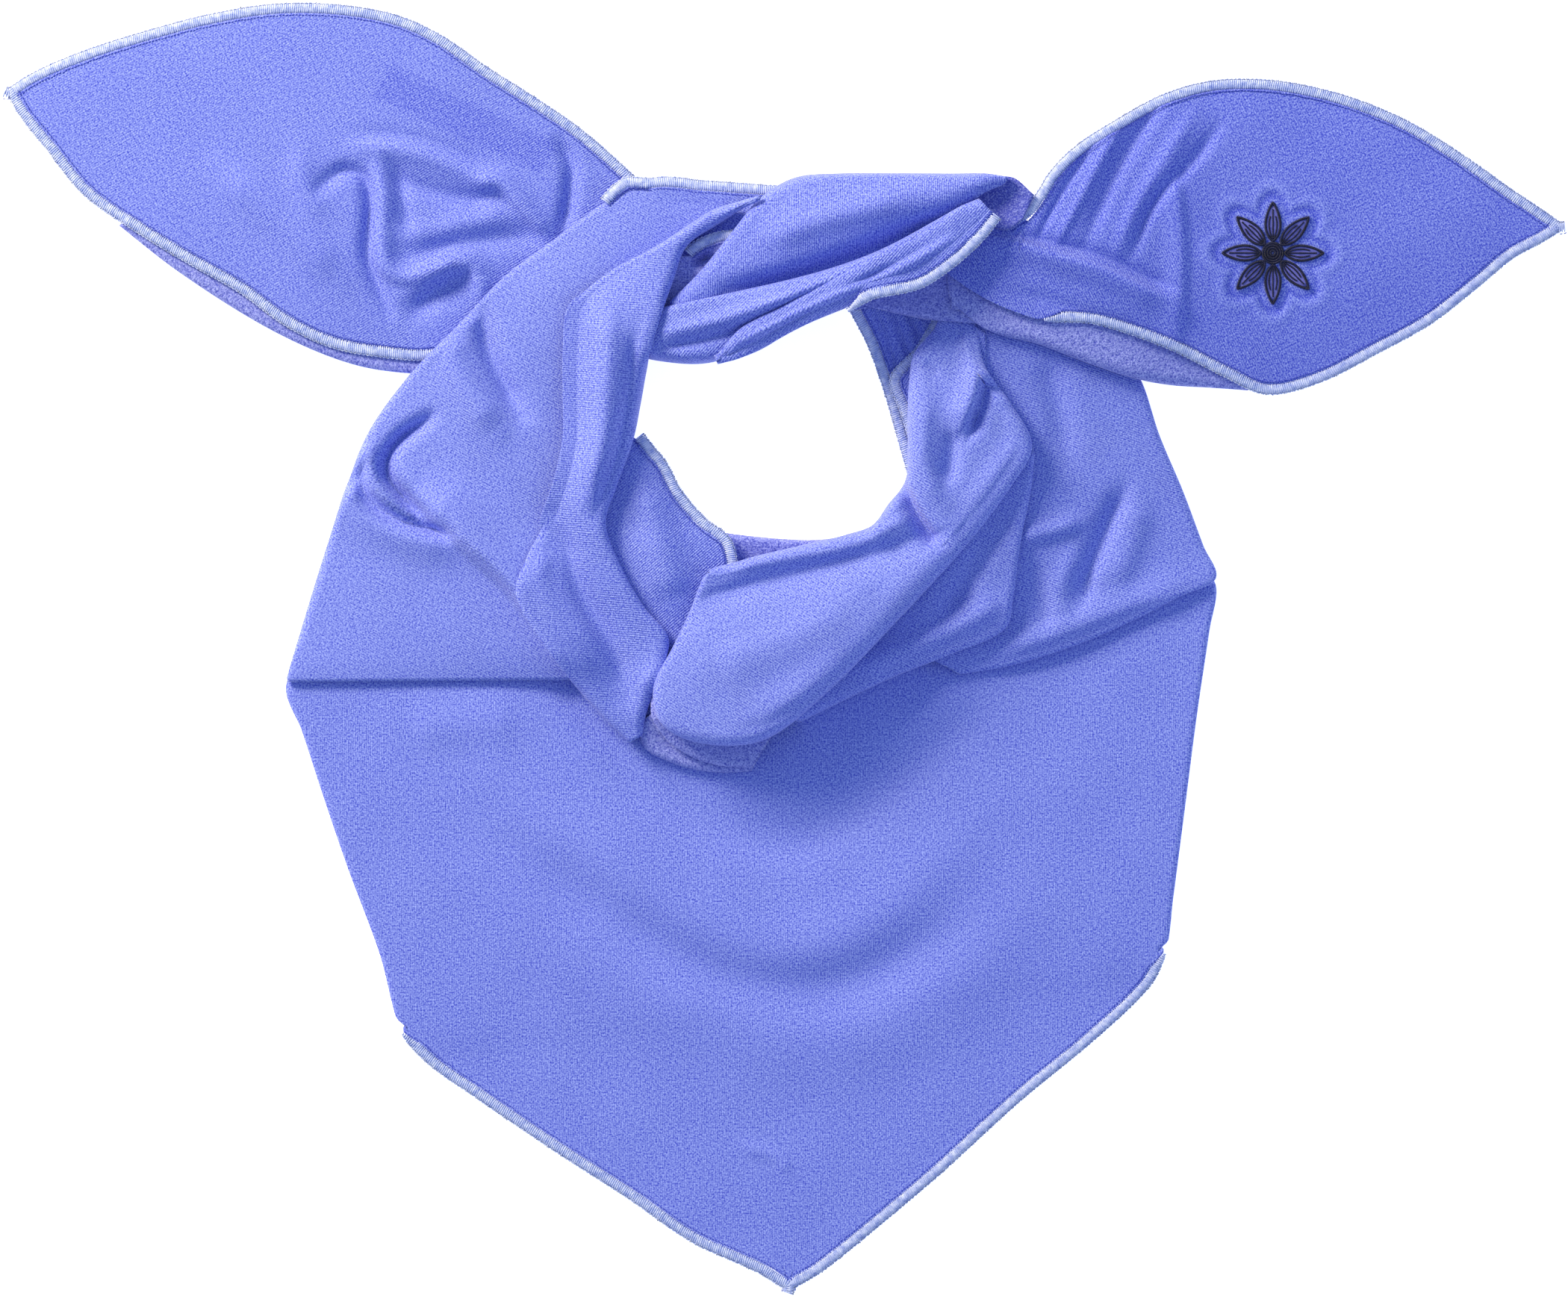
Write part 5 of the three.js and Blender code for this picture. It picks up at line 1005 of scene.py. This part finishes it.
def satin(strands, path, pile, width, pitch, radius, lift=SATIN_LIFT):
    """Short parallel stitches across a line, lying on the cloth."""
    path = np.column_stack([path, np.zeros(len(path))])
    spots, _ = spaced(path, pitch)
    tangent = unit(np.gradient(spots, axis=0))
    side = np.column_stack([-tangent[:, 1], tangent[:, 0], np.zeros(len(spots))])
    paths = (spots[:, None] + side[:, None] * (STITCH_SPOTS * width)[None, :, None]
             + tangent[:, None] * (STITCH_SPOTS * pitch * STITCH_LONG)[None, :, None])
    paths[..., 2] = pile.read(pile.near, paths[..., 0], paths[..., 1]) + lift + SATIN_RISE[None]
    strands.add(paths, radius, 5)


def petal_half(s):
    """Half width of a petal at a share of its length."""
    return PETAL_LONG * PETAL_HALF * np.sin(math.pi * s ** 0.85) ** 0.8


def petal_outline(turn):
    s = np.linspace(0, 1, 25)
    along = PETAL_LONG * mix(PETAL_INNER, 1.0, s)
    half = petal_half(s) * (1 - PETAL_NARROWS * s)
    left = np.column_stack([along, half])
    right = np.column_stack([along, -half])[::-1]
    c, k = math.cos(turn), math.sin(turn)
    turned = np.array([[c, k], [-k, c]])
    return left @ turned, right @ turned


def embroider(pile):
    """The flower on the right tail: outlined petals with veins and filling, and rings."""
    here = np.array(place_mm(*MOTIF_AT))
    strands = Strands()
    for k in range(PETALS):
        turn = 2 * math.pi * k / PETALS
        for line in petal_outline(turn):
            satin(strands, line + here, pile, **OUTLINE)
        way = np.array([math.cos(turn), math.sin(turn)])
        off = np.array([-way[1], way[0]])
        for bend, reach in VEINS:
            s = np.linspace(0, 1, 12)
            vein = (np.outer(PETAL_LONG * mix(VEIN_START, reach, s), way)
                    + np.outer(PETAL_LONG * PETAL_HALF * bend * np.sin(math.pi * mix(0.1, 0.75, s)), off))
            satin(strands, vein + here, pile, **VEIN)
        # lilac filling: long stitches side by side along the petal
        wide = FILL_ACROSS[:, None] * petal_half(FILL_ALONG)[None]
        fill = (way[None, None] * (PETAL_LONG * mix(PETAL_INNER, 1.0, FILL_ALONG))[None, :, None]
                + off[None, None] * wide[:, :, None] + here)
        fill = np.concatenate([fill, np.zeros((*fill.shape[:2], 1))], 2)
        fill[..., 2] = pile.read(pile.near, fill[..., 0], fill[..., 1]) + FILL_LIFT
        strands.add(fill, FILL_THREAD, 5, 1)
    for radius in RING_RADII:
        angle = np.linspace(0, 2 * math.pi, 40)
        ring = np.column_stack([np.cos(angle), np.sin(angle)]) * radius + here
        satin(strands, ring, pile, **RING)
    piece = strands.piece("flower_stitches")
    piece.data.materials.append(MOTIF)
    piece.data.materials.append(FILLING)
    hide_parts("embroidered_flower")
    return piece


class Nodes:
    """Shorthand for building a material's node tree."""

    def __init__(self, name):
        self.material = bpy.data.materials.new(name)
        self.material.use_nodes = True
        self.tree = self.material.node_tree
        self.shader = self.tree.nodes["Principled BSDF"]

    def new(self, kind, **settings):
        node = self.tree.nodes.new(kind)
        for key, value in settings.items():
            setattr(node, key, value)
        return node

    def link(self, source, target):
        self.tree.links.new(source, target)

    def math(self, operation, one, two=None):
        node = self.new("ShaderNodeMath", operation=operation)
        for socket, value in zip(node.inputs, (one, two)):
            if value is None:
                continue
            if isinstance(value, (int, float)):
                socket.default_value = value
            else:
                self.link(value, socket)
        return node.outputs[0]

    def set(self, values):
        for name, value in values.items():
            self.shader.inputs[name].default_value = value

    def noise(self, coordinates, scale, detail, roughness=0.55):
        node = self.new("ShaderNodeTexNoise")
        node.inputs["Scale"].default_value = scale
        node.inputs["Detail"].default_value = detail
        node.inputs["Roughness"].default_value = roughness
        self.link(coordinates, node.inputs["Vector"])
        return node.outputs["Fac"]

    def attribute(self, name):
        return self.new("ShaderNodeAttribute", attribute_name=name, attribute_type="GEOMETRY").outputs["Fac"]

    def ramp(self, factor, stops):
        node = self.new("ShaderNodeValToRGB")
        elements = node.color_ramp.elements
        while len(elements) < len(stops):
            elements.new(0.5)
        for element, (position, colour) in zip(elements, stops):
            element.position = position
            element.color = (*linear(colour), 1)
        self.link(factor, node.inputs["Fac"])
        self.link(node.outputs["Color"], self.shader.inputs["Base Color"])

    def bump(self, height, distance, strength):
        node = self.new("ShaderNodeBump")
        node.inputs["Distance"].default_value = distance
        node.inputs["Strength"].default_value = strength
        self.link(height, node.inputs["Height"])
        self.link(node.outputs["Normal"], self.shader.inputs["Normal"])


def linear(colour):
    """Linear values of an sRGB colour of 0 to 255."""
    return [((c / 255 + 0.055) / 1.055) ** 2.4 if c > 10 else c / 255 / 12.92 for c in colour]


# The cloth's ribs and nap: noise scales are per millimetre of the cloth, and
# tones are how far each one moves the colour from the dark to the light one
RIB_PITCH = 1.0
RIB_TONE = 0.13
NAP_TONE = 2.8
TUFT_TONE = 0.5
PATCH_TONE = 0.12
NAP_SCALE = 1.25
TUFT_SCALE = 0.45
PATCH_SCALE = 0.03
DRIFT_SCALE = 0.12
DRIFT = 5.0
WORN_SCALE = 0.05
RIB_RELIEF = 0.5
NAP_RELIEF = 0.8
TUFT_RELIEF = 2.0

# Spun thread: noise scales are per metre
SPUN_SCALE = 420
TWIST_SCALE = 2600


def cloth_material(name, dark, light, fleece, sheen, rough):
    """Jersey: fine ribs across the first weave coordinate, in millimetres, under a brushed nap."""
    n = Nodes(name)
    weave = n.new("ShaderNodeUVMap", uv_map="weave").outputs["UV"]
    split = n.new("ShaderNodeSeparateXYZ")
    n.link(weave, split.inputs[0])
    drift = n.math("MULTIPLY", n.noise(weave, DRIFT_SCALE, 2.0), DRIFT)
    phase = n.math("MULTIPLY", split.outputs["X"], 2 * math.pi / RIB_PITCH)
    wave = n.math("SINE", n.math("ADD", phase, drift))
    worn = n.math("MULTIPLY", n.noise(weave, WORN_SCALE, 2.0), 2 * (1 - fleece))
    ribs = n.math("MULTIPLY", wave, n.math("MULTIPLY", worn, n.attribute("ribs")))
    nap = n.noise(weave, NAP_SCALE, 2.0, 0.6)
    tufts = n.noise(weave, TUFT_SCALE, 3.0, 0.65)
    patches = n.noise(weave, PATCH_SCALE, 3.0, 0.6)
    factor = n.math("MULTIPLY", ribs, RIB_TONE)
    even_tone = 0.5
    tuft_tone = TUFT_TONE * (1 + 2 * fleece)
    for source, weight in ((nap, NAP_TONE), (tufts, tuft_tone), (patches, PATCH_TONE)):
        factor = n.math("ADD", factor, n.math("MULTIPLY", source, weight))
        even_tone -= weight / 2
    # the tone attribute moves the colour by painted shade and light, and by the label's imprint
    factor = n.math("ADD", factor, n.math("ADD", n.attribute("tone"), even_tone))
    n.ramp(factor, [(0, dark), (1, light)])
    relief = n.math("ADD", n.math("MULTIPLY", ribs, RIB_RELIEF), n.math("MULTIPLY", nap, NAP_RELIEF))
    relief = n.math("ADD", relief, n.math("MULTIPLY", tufts, TUFT_RELIEF * fleece))
    n.bump(relief, (0.2 + 0.3 * fleece) * MM, 0.75)
    n.set({"Roughness": rough, "Specular IOR Level": 0.25, "Sheen Weight": sheen,
           "Sheen Roughness": 0.45, "Sheen Tint": (0.9, 0.88, 1.0, 1)})
    return n.material


def thread_material(name, dark, light, rough, sheen):
    """Spun thread: uneven tone and a fine twist."""
    n = Nodes(name)
    where = n.new("ShaderNodeTexCoord").outputs["Object"]
    n.ramp(n.noise(where, SPUN_SCALE, 3.0, 0.6), [(0.3, dark), (0.7, light)])
    n.bump(n.noise(where, TWIST_SCALE, 2.0, 0.6), 0.12 * MM, 0.6)
    n.set({"Roughness": rough, "Specular IOR Level": 0.3, "Sheen Weight": sheen, "Sheen Roughness": 0.4})
    return n.material


FACE = cloth_material("periwinkle_jersey", (56, 69, 194), (160, 173, 243), 0.0, 0.3, 0.7)
BACK = cloth_material("fleeced_back", (74, 82, 184), (170, 176, 240), 1.0, 0.45, 0.95)
EDGE = thread_material("edge_thread", (146, 162, 224), (218, 224, 250), 0.6, 0.4)
# The needle thread's dark blue is partly its own colour and partly painted shade of the crease where it
# sinks into the cloth
NEEDLE = thread_material("needle_thread", (44, 58, 168), (66, 82, 196), 0.55, 0.1)
MOTIF = thread_material("motif_thread", (10, 11, 34), (26, 28, 66), 0.42, 0.15)
FILLING = thread_material("filling_thread", (84, 84, 160), (116, 116, 196), 0.6, 0.25)


# Whole layers painted darker or lighter than the rest: painted shade in the pocket inside the knot and on
# the fleece under the neck's front, painted light on the raised right cowl and painted shade on the flat
# right tail; the other small shifts make a layer a little darker or lighter
PAINTED_LAYER_SHADE = {
    "knot_wrap": -0.05, "cowl_right": 0.04, "knot_inside": -0.34, "neck_front_back": -0.12,
    "tail_right": -0.14, "tail_left": -0.02, "left_side": 0.03,
}

# Imprint of a label that is sewn on from behind
LABEL_AT = (29.5, 9.1)
LABEL_SIZE = (84, 16)
LABEL_TURN = -25
LABEL_TONE = -0.13
LABEL_BLUR = 0.5

# Painted shade in the pressed groove round the flower and a painted highlight on the puffed cloth beside it:
# tone, place and width
GROOVE_SHADE_TONE = -0.22
GROOVE_SHADE_WIDE = 1.8
PUFF_HIGHLIGHT_TONE = 0.12
PUFF_HIGHLIGHT_AT = 4.6
PUFF_HIGHLIGHT_WIDE = 2.4

# Ribs show most near the knot: centre, stretch, reach and blur of that region in
# millimetres, and the least and the added strength; the bib has its own strength
RIBS_AT = (20, 110)
RIBS_STRETCH = 1.1
RIBS_REACH = 190
RIBS_BLUR = 30
RIBS_LEAST = 0.35
RIBS_MORE = 0.75
RIBS_BIB = 0.4


def painted_shade_and_imprint(name, xy):
    """Painted shade and light of whole layers and round the flower, with the label's imprint, as a shift of
    the cloth's tone.
    """
    x, y = xy[..., 0], xy[..., 1]
    tone = np.zeros(x.shape)
    if name == MOTIF_PANEL:
        gap = contour_distance(x, y)
        # painted shade along the groove and a painted highlight on the puff beside it
        tone += GROOVE_SHADE_TONE * bell(gap, GROOVE_SHADE_WIDE)
        tone += PUFF_HIGHLIGHT_TONE * bell(gap - PUFF_HIGHLIGHT_AT, PUFF_HIGHLIGHT_WIDE)
    if name == "tail_left":
        x0, y0 = place_mm(*LABEL_AT)
        c, s = math.cos(math.radians(LABEL_TURN)), math.sin(math.radians(LABEL_TURN))
        along, across = (x - x0) * c + (y - y0) * s, (y - y0) * c - (x - x0) * s
        inside = np.minimum(LABEL_SIZE[0] / 2 - np.abs(along), LABEL_SIZE[1] / 2 - np.abs(across))
        tone += LABEL_TONE / (1 + np.exp(-inside / LABEL_BLUR))
    # each layer's painted shade or light is added to its whole tone
    return tone + PAINTED_LAYER_SHADE.get(name, 0)


def ribs_of(name, xy):
    """How far the ribs show through the nap: worn free near the knot, hidden on the flat ends."""
    if name == "bib":
        return np.full(xy.shape[:2], RIBS_BIB)
    far = np.hypot(xy[..., 0] - RIBS_AT[0], (xy[..., 1] - RIBS_AT[1]) * RIBS_STRETCH)
    return RIBS_LEAST + RIBS_MORE / (1 + np.exp((far - RIBS_REACH) / RIBS_BLUR))


pile = Pile()
for number, panel in enumerate(PANELS):
    cloth = Cloth(number, panel, pile)
    pile.over = spread_max(pile.height, 1)
    name = panel["name"]
    angle = math.radians(GRAIN.get(name, 0))
    turned = np.array([[math.cos(angle), math.sin(angle)], [-math.sin(angle), math.cos(angle)]])
    weave = cloth.weave @ turned
    piece = shell_mesh("cloth_" + name, cloth.face, cloth.back, weave,
                       painted_shade_and_imprint(name, cloth.weave), ribs_of(name, cloth.weave))
    piece.data.materials.append(FACE if panel["skin"] == FACE_CLOTH else BACK)
    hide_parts(name)
    hems = [bind(k, hem, cloth, pile) for k, hem in enumerate(HEMS) if hem["panel"] == name]
    pile.refresh()
flower = embroider(pile)


# Pale floor, a little below the cloth; metres
FLOOR_HALF = 4
FLOOR_DEEP = 0.0006
corners = [(x * FLOOR_HALF, y * FLOOR_HALF, -FLOOR_DEEP) for x, y in ((-1, -1), (1, -1), (1, 1), (-1, 1))]
floor_mesh = bpy.data.meshes.new("floor")
floor_mesh.from_pydata(corners, [], [(0, 1, 2, 3)])
floor = new_object("floor", floor_mesh)
paper = Nodes("pale_floor")
paper.set({"Base Color": (0.9, 0.9, 0.9, 1), "Emission Color": (1, 1, 1, 1), "Emission Strength": 0.75,
           "Roughness": 0.9, "Specular IOR Level": 0.1})
floor_mesh.materials.append(paper.material)

# Camera straight above, far enough for an almost parallel view
PIXELS_WIDE = 2100
CLOTH_PIXELS = 2095
CAMERA_HEIGHT = 6.0
CAMERA_LEFT = 0.5
CLOTH_LEVEL = 0.012
SENSOR = 36
camera = new_object("camera", bpy.data.cameras.new("camera"))
camera.location = (-CAMERA_LEFT * MM, 0, CAMERA_HEIGHT)
camera.data.sensor_width = SENSOR
camera.data.lens = SENSOR * (CAMERA_HEIGHT - CLOTH_LEVEL) / (PIXELS_WIDE * SPREAD / CLOTH_PIXELS * MM)
bpy.context.scene.camera = camera


def area_light(name, place, size, energy, colour):
    """A square light that faces the middle of the floor."""
    light = bpy.data.lights.new(name, "AREA")
    light.shape, light.size, light.energy, light.color = "SQUARE", size, energy, colour
    lamp = new_object(name, light)
    lamp.location = place
    lamp.rotation_mode = "QUATERNION"
    lamp.rotation_quaternion = (-Vector(place)).to_track_quat("-Z", "Y")


area_light("key", (-1.9, 1.9, 1.45), 1.0, 138, (1, 0.89, 0.66))
area_light("fill", (1.8, -0.6, 1.8), 2.0, 9, (0.6, 0.72, 1))

world = bpy.data.worlds.new("studio")
world.use_nodes = True
world.node_tree.nodes["Background"].inputs["Color"].default_value = (0.54, 0.70, 1, 1)
world.node_tree.nodes["Background"].inputs["Strength"].default_value = 0.62
bpy.context.scene.world = world
bpy.context.scene.view_settings.view_transform = "Standard"
